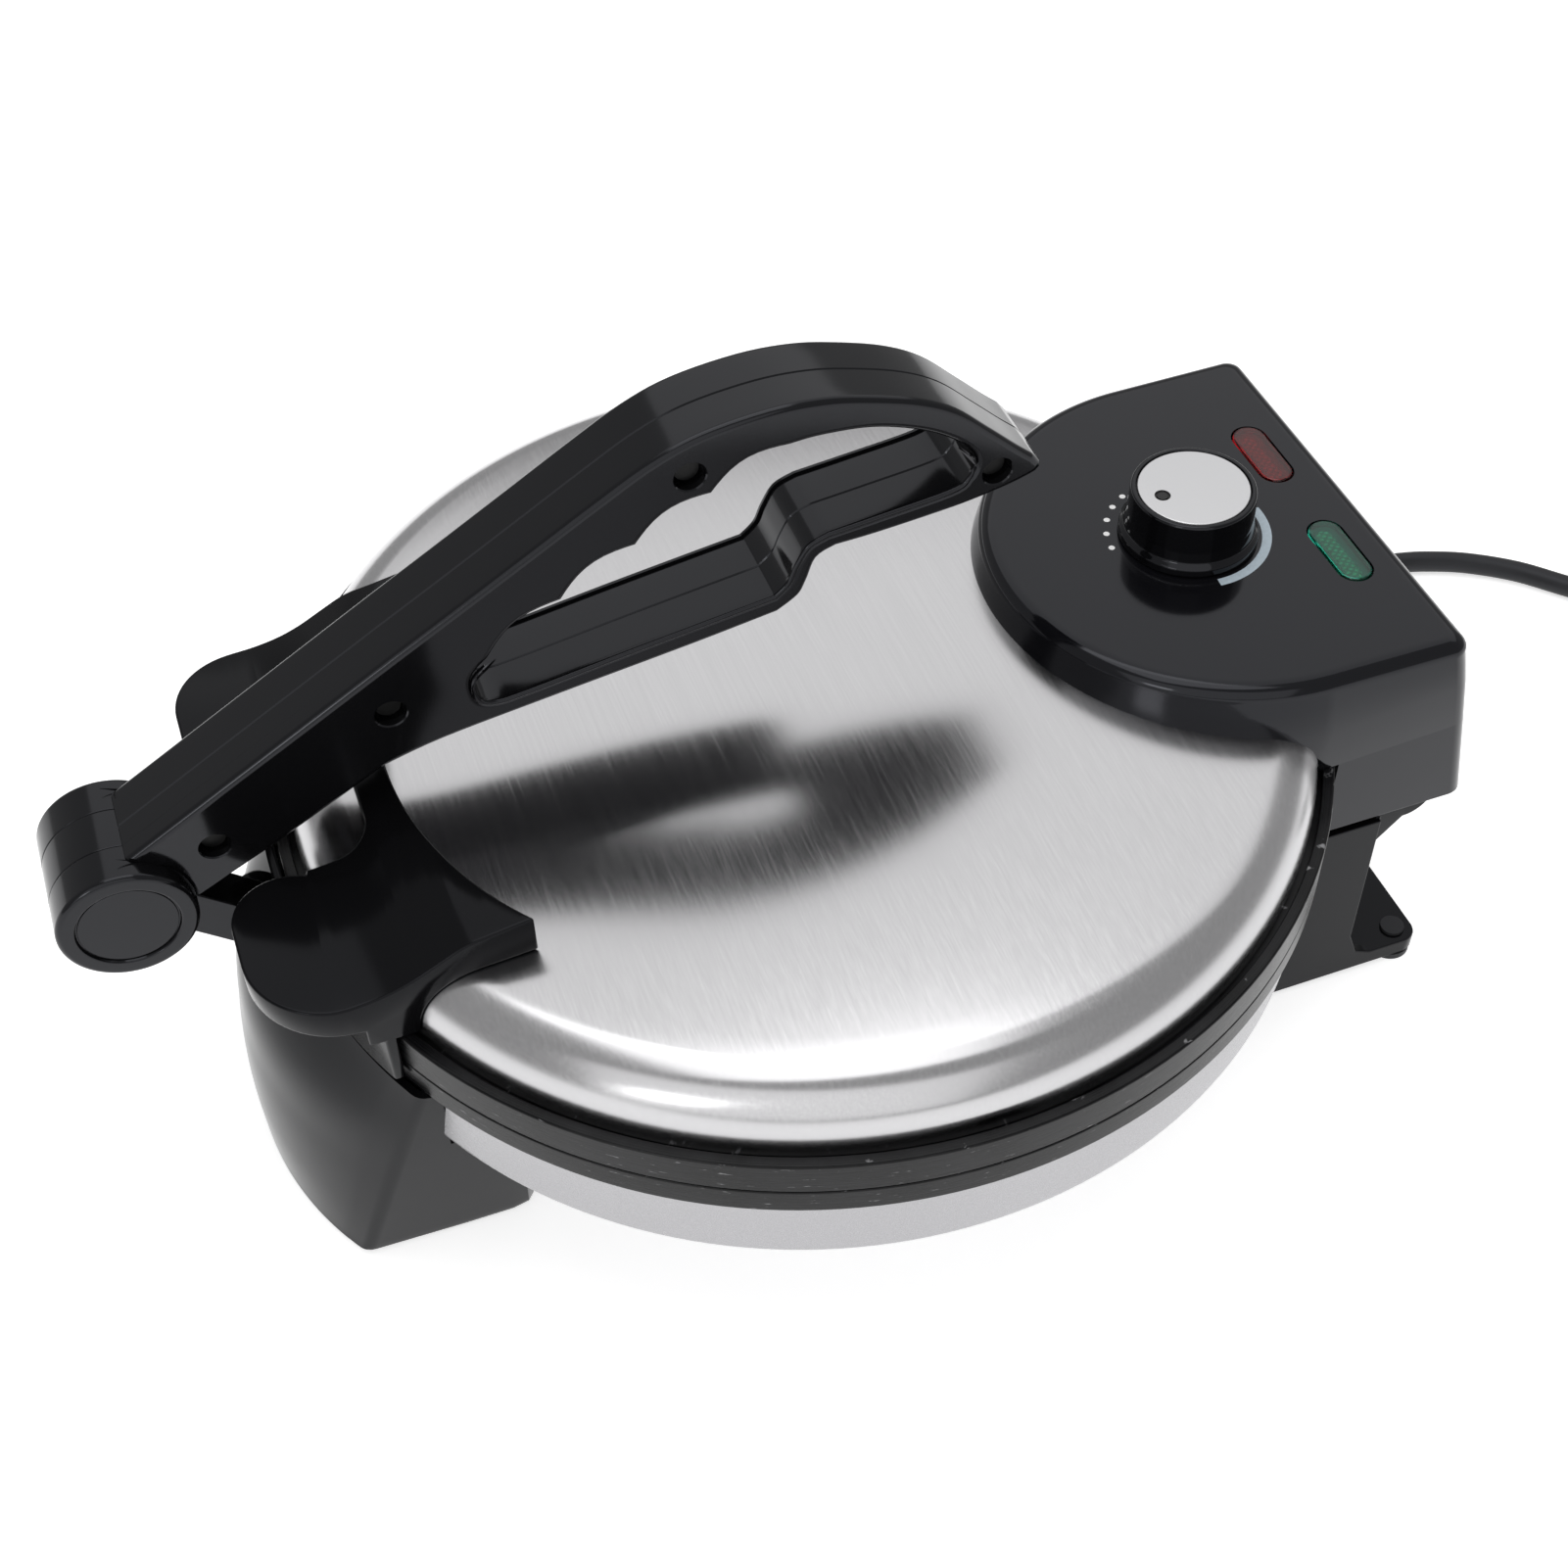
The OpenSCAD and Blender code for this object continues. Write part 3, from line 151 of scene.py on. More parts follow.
def start_material(name, colour, roughness, **sockets):
    """A Principled material with plain values set on its own sockets."""
    material = bpy.data.materials.new(name)
    material.use_nodes = True
    tree = material.node_tree
    shader = tree.nodes["Principled BSDF"]
    shader.inputs["Base Color"].default_value = (*colour, 1)
    shader.inputs["Roughness"].default_value = roughness
    for key, value in sockets.items():
        shader.inputs[key.replace("_", " ")].default_value = value
    return material, tree, shader


def grain(tree, scale, detail=4, stretch=(1, 1, 1), roughness=0.6):
    """Noise on Object coordinates, in turns per metre, stretched along the axes."""
    place = node(tree, "ShaderNodeTexCoord").outputs["Object"]
    mapped = node(tree, "ShaderNodeMapping", {"Vector": place, "Scale": stretch})
    return node(tree, "ShaderNodeTexNoise", {"Vector": mapped.outputs[0], "Scale": scale,
                                             "Detail": detail, "Roughness": roughness})


def spread(tree, value, low, high):
    """Maps a 0 to 1 value to the range from low to high."""
    return node(tree, "ShaderNodeMapRange", {"Value": value, "To Min": low, "To Max": high}
                ).outputs[0]


def bump(tree, shader, height, distance, strength=1.0):
    """Lifts the surface by a height in metres, in the shading alone."""
    made = node(tree, "ShaderNodeBump", {"Height": height, "Distance": distance,
                                         "Strength": strength})
    tree.links.new(made.outputs[0], shader.inputs["Normal"])
    return made


def two_tone(tree, shader, factor, dark, light):
    """Colours a shader between two colours by a 0 to 1 value."""
    tint = node(tree, "ShaderNodeMix", {"Factor": factor}, data_type="RGBA")
    tint.inputs[6].default_value = (*dark, 1)
    tint.inputs[7].default_value = (*light, 1)
    tree.links.new(tint.outputs[2], shader.inputs["Base Color"])


def shaded(colour, share):
    """A colour made darker or lighter by a share, up to white."""
    return [min(c * share, 1) for c in colour]


print("node helpers ready")

# %% [markdown]
# ## Brushed steel
#
# The lid and the pan are satin steel brushed in straight lines along X. Brushing spreads a
# reflection across the lines, so the shader is anisotropic, and its tangent comes from a
# UV map that is laid straight down on the part with u along Y and v along X. Fine streaks
# of noise, long along X, change the colour and the roughness a little and lift the surface
# by microns. Screws have the same steel without the lines.

# %% Make the steel finishes


def brushed_steel(name, colour, roughness, lines=True):
    """Steel with streaks along X, and with the stretched highlights of brushing."""
    material, tree, shader = start_material(name, colour, roughness, Metallic=1.0)
    fine = grain(tree, 2600, 3, (0.012, 1, 1))
    wide = grain(tree, 1150, 3, (0.02, 1, 1))
    cloud = grain(tree, 9, 2)
    mixed = node(tree, "ShaderNodeMath", {0: fine.outputs[0], 1: wide.outputs[0], 2: 0.25},
                 operation="MULTIPLY_ADD")
    tree.links.new(spread(tree, mixed.outputs[0], roughness - 0.07, roughness + 0.09),
                   shader.inputs["Roughness"])
    streaks = node(tree, "ShaderNodeMath", {0: mixed.outputs[0], 1: 1.0,
                                            2: -0.35}, operation="MULTIPLY_ADD")
    shade = node(tree, "ShaderNodeMath", {0: cloud.outputs[0], 1: 0.3, 2: streaks.outputs[0]},
                 operation="MULTIPLY_ADD", use_clamp=True)
    two_tone(tree, shader, shade.outputs[0], shaded(colour, 0.87), shaded(colour, 1.14))
    bump(tree, shader, fine.outputs[0], 0.000004, 0.35)
    if lines:
        shader.inputs["Anisotropic"].default_value = 0.6
        tangent = node(tree, "ShaderNodeTangent", direction_type="UV_MAP", uv_map="brushing")
        tree.links.new(tangent.outputs[0], shader.inputs["Tangent"])
    return material


steel = brushed_steel("brushed_steel", (0.57, 0.566, 0.576), 0.21)
pan_steel = brushed_steel("pan_steel", (0.44, 0.436, 0.45), 0.26)
screw_steel = brushed_steel("plain_steel", (0.55, 0.55, 0.54), 0.3, lines=False)
# The lever's screws sit deep in their wells, so this steel is painted near black as painted shade.
shade_painted_steel = brushed_steel("steel_painted_dark_for_shade", (0.03, 0.03, 0.03), 0.4, lines=False)
print("steel finishes", steel.name, pan_steel.name, screw_steel.name, shade_painted_steel.name)

# %% [markdown]
# ## Cast plates
#
# The two plates are cast aluminium with a near-black coating. Their rims are turned, so
# fine rings run round them. Rings come from noise on the distance from the plates' centre
# and the height, which a few maths nodes work out from Object coordinates. Where another
# noise peaks, the coating is nicked and the grey metal shows.

# %% Make the plate finish


def ring_noise(tree, scale, detail=3):
    """Noise that only changes with the radius and the height, so it draws turned rings."""
    place = node(tree, "ShaderNodeTexCoord").outputs["Object"]
    moved = node(tree, "ShaderNodeMapping", {"Vector": place,
                                             "Location": (0, -plates_y * MM, 0)})
    parts = node(tree, "ShaderNodeSeparateXYZ", {0: moved.outputs[0]})
    flat = node(tree, "ShaderNodeCombineXYZ", {0: parts.outputs[0], 1: parts.outputs[1]})
    radius = node(tree, "ShaderNodeVectorMath", {0: flat.outputs[0]}, operation="LENGTH")
    pair = node(tree, "ShaderNodeCombineXYZ", {0: radius.outputs[1], 2: parts.outputs[2]})
    return node(tree, "ShaderNodeTexNoise", {"Vector": pair.outputs[0], "Scale": scale,
                                             "Detail": detail})


plate_black, tree, shader = start_material("cast_black", (0.015, 0.015, 0.016), 0.34,
                                           Metallic=0.1)
shader.inputs["Specular IOR Level"].default_value = 0.2
rings = ring_noise(tree, 3200)
blotch = grain(tree, 60, 5)
worn = node(tree, "ShaderNodeMath", {0: rings.outputs[0], 1: blotch.outputs[0]},
            operation="MULTIPLY")
tree.links.new(spread(tree, worn.outputs[0], 0.22, 0.5), shader.inputs["Roughness"])
ramp = node(tree, "ShaderNodeValToRGB", {0: worn.outputs[0]})
ramp.color_ramp.elements[0].position, ramp.color_ramp.elements[1].position = 0.2, 0.55
ramp.color_ramp.elements[0].color = (0.004, 0.004, 0.0045, 1)
ramp.color_ramp.elements[1].color = (0.022, 0.022, 0.024, 1)
nicks = grain(tree, 900, 3, (0.25, 0.25, 1.6))
marks = node(tree, "ShaderNodeMapRange", {"Value": nicks.outputs[0], "From Min": 0.66,
                                          "From Max": 0.74, "To Max": 0.8})
scraped = node(tree, "ShaderNodeMix", {"Factor": marks.outputs[0], 6: ramp.outputs[0],
                                       7: (0.3, 0.3, 0.31, 1)}, data_type="RGBA")
tree.links.new(scraped.outputs[2], shader.inputs["Base Color"])
rough_skin = node(tree, "ShaderNodeMath", {0: rings.outputs[0], 1: nicks.outputs[0]},
                  operation="ADD")
bump(tree, shader, rough_skin.outputs[0], 0.00006, 0.5)
print("plate finish", plate_black.name)

# %% [markdown]
# ## Plastics and rubber
#
# The mouldings are black plastic with a polish that isn't quite even: a slow swell in the
# surface bends long reflections, and a few specks of dust are lighter. The reflections are a
# touch blue, and the satin finish of the brackets and the grip reflects less.

# %% Make the plastic finishes
DUST_GREY = (0.16, 0.16, 0.16)


def moulded(name, colour, roughness, swell=0.00003, dust=0.5, sheen=0.33):
    """Moulded plastic with a slow swell in its surface and specks of dust on it."""
    material, tree, shader = start_material(name, colour, roughness)
    shader.inputs["Specular IOR Level"].default_value = sheen
    shader.inputs["Specular Tint"].default_value = (0.9, 0.92, 1.0, 1)
    slow = grain(tree, 38, 2)
    fine = grain(tree, 1400, 2)
    specks = node(tree, "ShaderNodeTexVoronoi",
                  {"Vector": node(tree, "ShaderNodeTexCoord").outputs["Object"],
                   "Scale": 420})
    near = node(tree, "ShaderNodeMapRange", {"Value": specks.outputs["Distance"],
                                             "From Min": 0.04, "From Max": 0.09,
                                             "To Min": 1, "To Max": 0})
    rare = node(tree, "ShaderNodeMath", {0: specks.outputs["Color"], 1: 0.965},
                operation="GREATER_THAN")
    shown = node(tree, "ShaderNodeMath", {0: near.outputs[0], 1: rare.outputs[0]},
                 operation="MULTIPLY")
    weak = node(tree, "ShaderNodeMath", {0: shown.outputs[0], 1: dust}, operation="MULTIPLY")
    two_tone(tree, shader, weak.outputs[0], colour, DUST_GREY)
    rough = node(tree, "ShaderNodeMath", {0: slow.outputs[0], 1: 0.08,
                                          2: roughness - 0.04}, operation="MULTIPLY_ADD")
    tree.links.new(rough.outputs[0], shader.inputs["Roughness"])
    first = bump(tree, shader, slow.outputs[0], swell, 0.6)
    second = node(tree, "ShaderNodeBump", {"Height": fine.outputs[0], "Distance": 0.000002,
                                           "Strength": 0.5, "Normal": first.outputs[0]})
    tree.links.new(second.outputs[0], shader.inputs["Normal"])
    return material


gloss_black = moulded("gloss_black", (0.004, 0.004, 0.0045), 0.13)
satin_black = moulded("satin_black", (0.004, 0.004, 0.0045), 0.17, sheen=0.14)
panel_black = moulded("panel_black", (0.004, 0.004, 0.005), 0.11, dust=0.7)
knob_black = moulded("knob_black", (0.003, 0.003, 0.0035), 0.08, dust=0.3)
rubber = moulded("rubber", (0.02, 0.02, 0.021), 0.55, dust=0.2)
cord_black = moulded("cord_black", (0.016, 0.016, 0.017), 0.42, dust=0.2)
print("plastics", gloss_black.name, satin_black.name, panel_black.name, knob_black.name)

# %% [markdown]
# ## Small finishes
#
# Satin silver for the dial's cap, clear coloured plastic for the lamps over bars with fine
# crossed ribs, print for the marks, and dull finishes for what lies inside. The ribs are two
# wave patterns, turned either way and multiplied.

# %% Make the small finishes
dial_silver, tree, shader = start_material("dial_silver", (0.6, 0.6, 0.61), 0.3,
                                           Metallic=1.0)
grit = grain(tree, 5200, 2)
tree.links.new(spread(tree, grit.outputs[0], 0.26, 0.4), shader.inputs["Roughness"])
bump(tree, shader, grit.outputs[0], 0.000004, 0.5)


def lens(name, colour):
    """Clear coloured plastic, a little uneven."""
    material, tree, shader = start_material(name, colour, 0.06, Transmission_Weight=0.97,
                                            IOR=1.49)
    ripple = grain(tree, 300, 2)
    tree.links.new(spread(tree, ripple.outputs[0], 0.0, 0.03), shader.inputs["Roughness"])
    bump(tree, shader, ripple.outputs[0], 0.00001, 0.2)
    return material


def dull(name, colour, roughness, scale=300, metallic=0.0, depth=0.00002):
    """A plain finish whose colour, roughness and surface change with one noise."""
    material, tree, shader = start_material(name, colour, roughness, Metallic=metallic)
    noise = grain(tree, scale, 4)
    two_tone(tree, shader, noise.outputs[0], shaded(colour, 0.8), shaded(colour, 1.2))
    tree.links.new(spread(tree, noise.outputs[0], roughness - 0.08, roughness + 0.08),
                   shader.inputs["Roughness"])
    bump(tree, shader, noise.outputs[0], depth, 0.4)
    return material


def ribbed(name, colour):
    """Coloured plastic with fine crossed ribs, so that a strip of it looks woven."""
    material, tree, shader = start_material(name, colour, 0.25)
    place = node(tree, "ShaderNodeTexCoord").outputs["Object"]
    ways = []
    for turn in (radians(40), radians(-40)):
        turned = node(tree, "ShaderNodeMapping", {"Vector": place, "Rotation": (0, 0, turn)})
        ways.append(node(tree, "ShaderNodeTexWave", {"Vector": turned.outputs[0],
                                                     "Scale": 210}))
    crossed = node(tree, "ShaderNodeMath", {0: ways[0].outputs["Fac"],
                                            1: ways[1].outputs["Fac"]}, operation="MULTIPLY")
    two_tone(tree, shader, crossed.outputs[0], shaded(colour, 0.25), shaded(colour, 1.5))
    bump(tree, shader, crossed.outputs[0], 0.0002, 0.6)
    return material


lens_red = lens("clear_red", (0.42, 0.01, 0.015))
lens_green = lens("clear_green", (0.02, 0.42, 0.28))
bar_red = ribbed("bar_red", (0.3, 0.03, 0.03))
bar_green = ribbed("bar_green", (0.2, 0.6, 0.45))
print_white = dull("print_white", (0.9, 0.9, 0.9), 0.5, 900)
print_blue = dull("print_blue", (0.42, 0.5, 0.56), 0.5, 900)
recess_black = dull("recess_black", (0.006, 0.006, 0.006), 0.5)
heater_tube = dull("heater_tube", (0.3, 0.29, 0.27), 0.4, 500, 0.8)
tin = dull("tin", (0.45, 0.42, 0.36), 0.35, 200, 0.8)
lamp_glass = dull("lamp_glass", (0.75, 0.62, 0.5), 0.15, 100)
tie_black = dull("tie_black", (0.025, 0.025, 0.026), 0.6, 700)
print("small finishes made")

# %% [markdown]
# ## Finishes on the CAD nodes
#
# Everything that isn't rebuilt below keeps its CAD shape, with its finish on it.

# %% Dress the CAD nodes
cad_finish = {
    plate_black: ("lower_plate", "upper_plate"),
    heater_tube: ("lower_heater", "upper_heater"),
    gloss_black: ("front_bracket", "rear_bracket", "lid_grip", "control_housing",
                  "housing_underside", "link_bar", "lever_right", "lever_left",
                  "barrel_caps"),
    screw_steel: ("bracket_screws", "hinge_pins", "link_pin", "grip_screws", "lid_screws",
                  "underside_screws", "barrel_pin", "thermostat_shaft"),
    # painted shade: the deep-set lever screws get steel painted near black
    shade_painted_steel: ("lever_screws",),
    pan_steel: ("base_pan",),
    steel: ("lid_shell",),
    rubber: ("rubber_feet", "strain_relief"),
    cord_black: ("mains_cord", "cord_coil", "cord_tail", "plug"),
    tie_black: ("cord_tie",),
    tin: ("thermostat",),
    lens_red: ("lamp_red",),
    lens_green: ("lamp_green",),
    lamp_glass: ("lamp_bulbs",),
    knob_black: ("dial_knob",),
    dial_silver: ("dial_cap",),
}
for finish, names in cad_finish.items():
    for name in names:
        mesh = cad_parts[name].data
        mesh.materials.clear()
        mesh.materials.append(finish)
print(sum(len(names) for names in cad_finish.values()), "nodes dressed")

# %% [markdown]
# ## Handing a piece over
#
# Pieces are drawn in millimetres about the plates' centre, as bmeshes. One helper brings a
# bmesh to metres and to the frame's place, marks its sharp edges, and makes an object with
# one finish. It hangs the object on the empty of the body it rides on, and hides the CAD
# nodes it stands for. Weighted normals keep broad faces flat between rounded edges.

# %% Write the helper that finishes a piece


def finish_piece(name, bm, body, finish, replaces=(), sharp=38, weighted=True):
    """Makes an object of a bmesh, hangs it on its body and hides the CAD nodes it replaces."""
    bmesh.ops.remove_doubles(bm, verts=bm.verts, dist=0.0005)
    bmesh.ops.recalc_face_normals(bm, faces=bm.faces)
    bmesh.ops.translate(bm, verts=bm.verts, vec=(0, plates_y, 0))
    bmesh.ops.scale(bm, verts=bm.verts, vec=(MM, MM, MM))
    for face in bm.faces:
        face.smooth = True
    for edge in bm.edges:
        edge.smooth = len(edge.link_faces) == 2 and edge.calc_face_angle(0) < radians(sharp)
    mesh = bpy.data.meshes.new(name)
    bm.to_mesh(mesh)
    bm.free()
    piece = bpy.data.objects.new(name, mesh)
    bpy.context.scene.collection.objects.link(piece)
    mesh.materials.append(finish)
    if weighted:
        even = piece.modifiers.new("even_shading", "WEIGHTED_NORMAL")
        even.keep_sharp = True
    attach(piece, body)
    if replaces:
        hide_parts(*replaces)
    return piece


print("finish_piece ready")

# %% [markdown]
# ## Turned pieces
#
# A lathe part is a profile spun round a line. The profile is a chain of corners, and no
# pressed or moulded corner is sharp, so one helper puts a small arc on each corner that has
# a radius, and the other turns the chain round an upright line.

# %% Write the helpers for turned pieces


def rounded(points, steps=4):
    """Arcs on the corners of a chain of (a, b) or (a, b, radius) points."""
    made = []
    for i, point in enumerate(points):
        here = Vector(point[:2])
        if len(point) == 2 or i in (0, len(points) - 1):
            made.append(here)
            continue
        before = (Vector(points[i - 1][:2]) - here).normalized()
        after = (Vector(points[i + 1][:2]) - here).normalized()
        half = before.angle(after) / 2
        reach = point[2] / sin(half) if half > 0.01 else 0
        centre = here + (before + after).normalized() * reach
        start = here + before * reach * cos(half) - centre
        turn_by = start.angle_signed(here + after * reach * cos(half) - centre)
        for k in range(steps + 1):
            made.append(centre + Matrix.Rotation(-turn_by * k / steps, 2) @ start)
    return made


def spun(profile, steps=192, centre=(0, 0), bm=None):
    """Turns a chain of (radius, height) points once round an upright line."""
    bm = bm or bmesh.new()
    verts = [bm.verts.new((centre[0] + r, centre[1], z)) for r, z in profile]
    edges = [bm.edges.new(pair) for pair in zip(verts, verts[1:])]
    bmesh.ops.spin(bm, geom=verts + edges, cent=(*centre, 0), axis=(0, 0, 1),
                   angle=2 * pi, steps=steps, use_merge=True)
    return bm


print("turning helpers ready")

# %% [markdown]
# ## Lid, pan and plates
#
# All four are turned. The lid's profile is a very shallow dome, a round shoulder and a
# short wall that stands in the upper plate's groove. Each profile runs up one side of the
# sheet and down the other, so the piece has its real thickness. A UV map laid flat from
# above tells the steel which way it is brushed.

# %% Lay the brushing


def straight_uv(piece):
    """Lays a UV map flat from above, with u along Y and v along X."""
    layer = piece.data.uv_layers.new(name="brushing")
    for loop in piece.data.loops:
        x, y, z = piece.data.vertices[loop.vertex_index].co
        layer.data[loop.index].uv = (y * 4, x * 4)


print("brushing runs along X")

# %% [markdown]
# The lid's line is one wide dome that meets the wall in a round shoulder. The inner line is
# the same one moved in by the sheet's thickness, so the lid is a real shell.

# %% Turn the lid
SHEET = 1.0
DOME_STEPS, SHOULDER_STEPS = 24, 18
LID_DOME_R, LID_SHOULDER_R = 1300.0, 15.0
dome_z = lid_top_z - LID_DOME_R
shoulder_z = dome_z + sqrt((LID_DOME_R - LID_SHOULDER_R) ** 2 - (lid_r - LID_SHOULDER_R) ** 2)
shoulder_a = atan2(shoulder_z - dome_z, lid_r - LID_SHOULDER_R)


def lid_line(out):
    """The lid's face from the middle to the wall, moved out by a distance."""
    line = []
    for k in range(DOME_STEPS + 1):
        r = (LID_DOME_R + out) * cos(shoulder_a) * k / DOME_STEPS
        line.append((r, dome_z + sqrt((LID_DOME_R + out) ** 2 - r * r)))
    for k in range(1, SHOULDER_STEPS + 1):
        a = shoulder_a * (1 - k / SHOULDER_STEPS)
        line.append((lid_r - LID_SHOULDER_R + (LID_SHOULDER_R + out) * cos(a),
                     shoulder_z + (LID_SHOULDER_R + out) * sin(a)))
    return line


edge = [(lid_r, lid_edge_z + 0.4), (lid_r - 0.15, lid_edge_z), (lid_r - SHEET + 0.15, lid_edge_z),
        (lid_r - SHEET, lid_edge_z + 0.4)]
bm = spun(lid_line(0) + edge + lid_line(-SHEET)[::-1])
lid_piece = finish_piece("lid", bm, "lid", steel, ["lid_shell"],
                         weighted=False)
straight_uv(lid_piece)
print("lid", len(lid_piece.data.polygons), "faces")

# %% [markdown]
# The pan is a flat dish of the same sheet. A third number in a point rounds that corner.

# %% Turn the pan
CORNER = 5.0
pan_line = [(0, body_z), (pan_r, body_z, CORNER), (pan_r, rim_z), (pan_r - SHEET, rim_z),
            (pan_r - SHEET, body_z + SHEET, CORNER - SHEET), (0, body_z + SHEET)]
bm = spun(rounded(pan_line, 8))
pan_piece = finish_piece("pan", bm, "base", pan_steel, ["base_pan"])
straight_uv(pan_piece)
print("pan", len(pan_piece.data.polygons), "faces")

# %% [markdown]
# The lower plate has a shallow recess inside a flat land. The upper one is flat, with a
# groove round its back where the lid's wall stands.

# %% Turn the plates
LAND, RECESS, WEB = 9.0, 1.2, 5.0
GROOVE_LIP, GROOVE_GAP = 3.0, 0.2
web_z = lower_face_z - RECESS - WEB
face_r = plate_r - LAND
lower_line = [(0, web_z), (pan_r - 12, web_z), (pan_r - 8, rim_z, 1), (plate_r, rim_z, 0.7),
              (plate_r, lower_face_z, 0.5), (face_r, lower_face_z, 0.6),
              (face_r - RECESS, lower_face_z - RECESS, 0.6), (0, lower_face_z - RECESS)]
bm = spun(rounded(lower_line))
finish_piece("plate_lower", bm, "base", plate_black, ["lower_plate"])
groove_r, groove_z = plate_r - GROOVE_LIP, lid_edge_z - GROOVE_GAP
upper_line = [(0, upper_face_z), (plate_r, upper_face_z, 0.5), (plate_r, upper_rim_z, 0.7),
              (groove_r, upper_rim_z, 0.4), (groove_r, groove_z), (lid_r - 5, groove_z),
              (lid_r - 7, upper_face_z + WEB), (0, upper_face_z + WEB)]
bm = spun(rounded(upper_line))
finish_piece("plate_upper", bm, "lid", plate_black, ["upper_plate"])
print("plates turned, rims at", round(rim_z, 1), round(upper_rim_z, 1))

# %% [markdown]
# ## The lever
#
# The lever is two mouldings that meet on the middle plane. Its outline is a chosen line in
# the side view: a straight arm that grows into a hooped grip, with a D-shaped opening and
# four finger scallops along the opening's upper side. Smooth curves run through the chosen
# points, and each scallop is half a sine wave on its chord. All points are measured from
# the barrel's middle.

# %% Write the helpers for curves


def through(points, steps):
    """A smooth curve through chosen points, with steps pieces between each two."""
    made = []
    for i in range(len(points) - 1):
        p = [Vector(points[min(max(i + k, 0), len(points) - 1)]) for k in (-1, 0, 1, 2)]
        for k in range(steps):
            t = k / steps
            made.append((2 * p[1] + (p[2] - p[0]) * t
                         + (2 * p[0] - 5 * p[1] + 4 * p[2] - p[3]) * t * t
                         + (3 * p[1] - 3 * p[2] + p[3] - p[0]) * t ** 3) / 2)
    return made + [Vector(points[-1])]


def line2(points, steps):
    """A smooth flat curve through chosen (a, b) points."""
    return [p.to_2d() for p in through([(*q, 0) for q in points], steps)]


def moved_out(points, distance):
    """A closed ring of (a, b) points moved outwards, to the right of its own direction."""
    made = []
    for k, here in enumerate(points):
        before = (here - points[k - 1]).normalized()
        after = (points[(k + 1) % len(points)] - here).normalized()
        side = Vector((before.y + after.y, -before.x - after.x)).normalized()
        grow = 1 / max(0.5, side.dot(Vector((after.y, -after.x))))
        made.append(here + side * distance * grow)
    return made


print("curve helpers ready")

# %% [markdown]
# Each list is one stretch of the lever's edge. The curve is smooth inside a list, and may
# turn sharply where two lists meet. The round root follows the barrel.

# %% Draw the lever's outline
CURVE_STEPS = 5
lever_top = [(73.7, 57.9), (89.2, 66.9), (109.7, 79), (124.7, 87.9), (137.7, 95.1),
             (149.7, 99.3), (165.7, 101.2), (178.7, 100.5), (189.7, 97.9), (201.7, 93.7),
             (211.2, 88.2), (220.4, 79.6), (227.6, 72.6), (231.9, 68.7)]
lever_under = [(231.0, 62.9), (224.7, 61.1), (211.7, 58.8), (192.6, 57), (181.2, 56.5)]
lever_throat = [(181.2, 56.5), (176.5, 54.3), (174, 48.2), (171.7, 43.9), (166.2, 40.3)]
lever_belly = [(166.2, 40.3), (144.3, 36.9), (107.7, 31.9), (81.7, 28.1), (67.1, 24.4)]
hole_low = [(165, 46.2), (131.7, 41.5), (103.7, 37.2), (95.2, 36.6), (91.7, 38.9),
            (91.4, 44.9), (95.7, 49.5)]
hole_back = [(170.2, 89.5), (177.7, 89.8), (189.7, 88.5), (200.7, 84.7), (208.7, 80.1),
             (214.3, 75.1), (215.9, 71.3), (214.3, 67.5), (210.2, 65.2), (192.6, 63.1),
             (179.2, 61.7)]
hole_throat = [(179.2, 61.7), (173.9, 59.5), (170.7, 54.5), (168.5, 49.5), (165, 46.2)]
lever_tip = [(233.6, 66.6), (233.8, 64.9), (232.7, 63.6)]
FINGERS, FINGER_DEEP, FINGER_STEPS = 4, 3.2, 9


def cusp(k):
    """The ridge between two fingers, counted from the front."""
    s = k / FINGERS
    return Vector((95.7 + 74.5 * s, 49.5 + 49 * s - 9 * s * s))


root_from, root_to = atan2(-3, 16.5), atan2(barrel_r - 0.2, 4)
root = [Vector((cos(a), sin(a))) * (barrel_r - 1)
        for a in [root_from + (root_to - root_from) * k / 12 for k in range(12)]]
outline = ([Vector((4, barrel_r - 0.2))] + line2(lever_top, CURVE_STEPS)
           + [Vector(point) for point in lever_tip]
           + line2(lever_under, CURVE_STEPS)[:-1] + line2(lever_throat, CURVE_STEPS)[:-1]
           + line2(lever_belly, CURVE_STEPS) + [Vector((36.9, 7.7))] + root)
fingers = []
for k in range(FINGERS):
    chord = cusp(k + 1) - cusp(k)
    lift = Vector((-chord.y, chord.x)).normalized()
    fingers += [cusp(k) + chord * s / FINGER_STEPS
                + lift * FINGER_DEEP * sin(pi * s / FINGER_STEPS)
                for s in range(FINGER_STEPS)]
hole = (line2(hole_low, CURVE_STEPS)[:-1] + fingers + line2(hole_back, CURVE_STEPS)[:-1]
        + line2(hole_throat, CURVE_STEPS)[:-1])
print("outline", len(outline), "points, opening", len(hole))

# %% [markdown]
# A flat moulding starts as a loop of edges that is filled with faces and pushed out to its
# thickness. Its rim is rolled over in small insets, each a little deeper than the last, so
# that they follow a quarter circle. An extrusion leaves its start faces as they were, so
# `pushed` turns round whichever end would face inwards.

# %% Write the helpers for flat mouldings


def closed_loop(bm, points):
    """Edges round a ring of points."""
    verts = [bm.verts.new(point) for point in points]
    return [bm.edges.new((verts[k - 1], verts[k])) for k in range(len(verts))]


def filled(bm, edges, normal):
    """Faces between closed loops that lie in one plane."""
    made = bmesh.ops.triangle_fill(bm, edges=edges, use_beauty=True, normal=normal)
    faces = [f for f in made["geom"] if isinstance(f, bmesh.types.BMFace)]
    wrong = [f for f in faces if f.normal.dot(Vector(normal)) < 0]
    bmesh.ops.reverse_faces(bm, faces=wrong)
    return faces


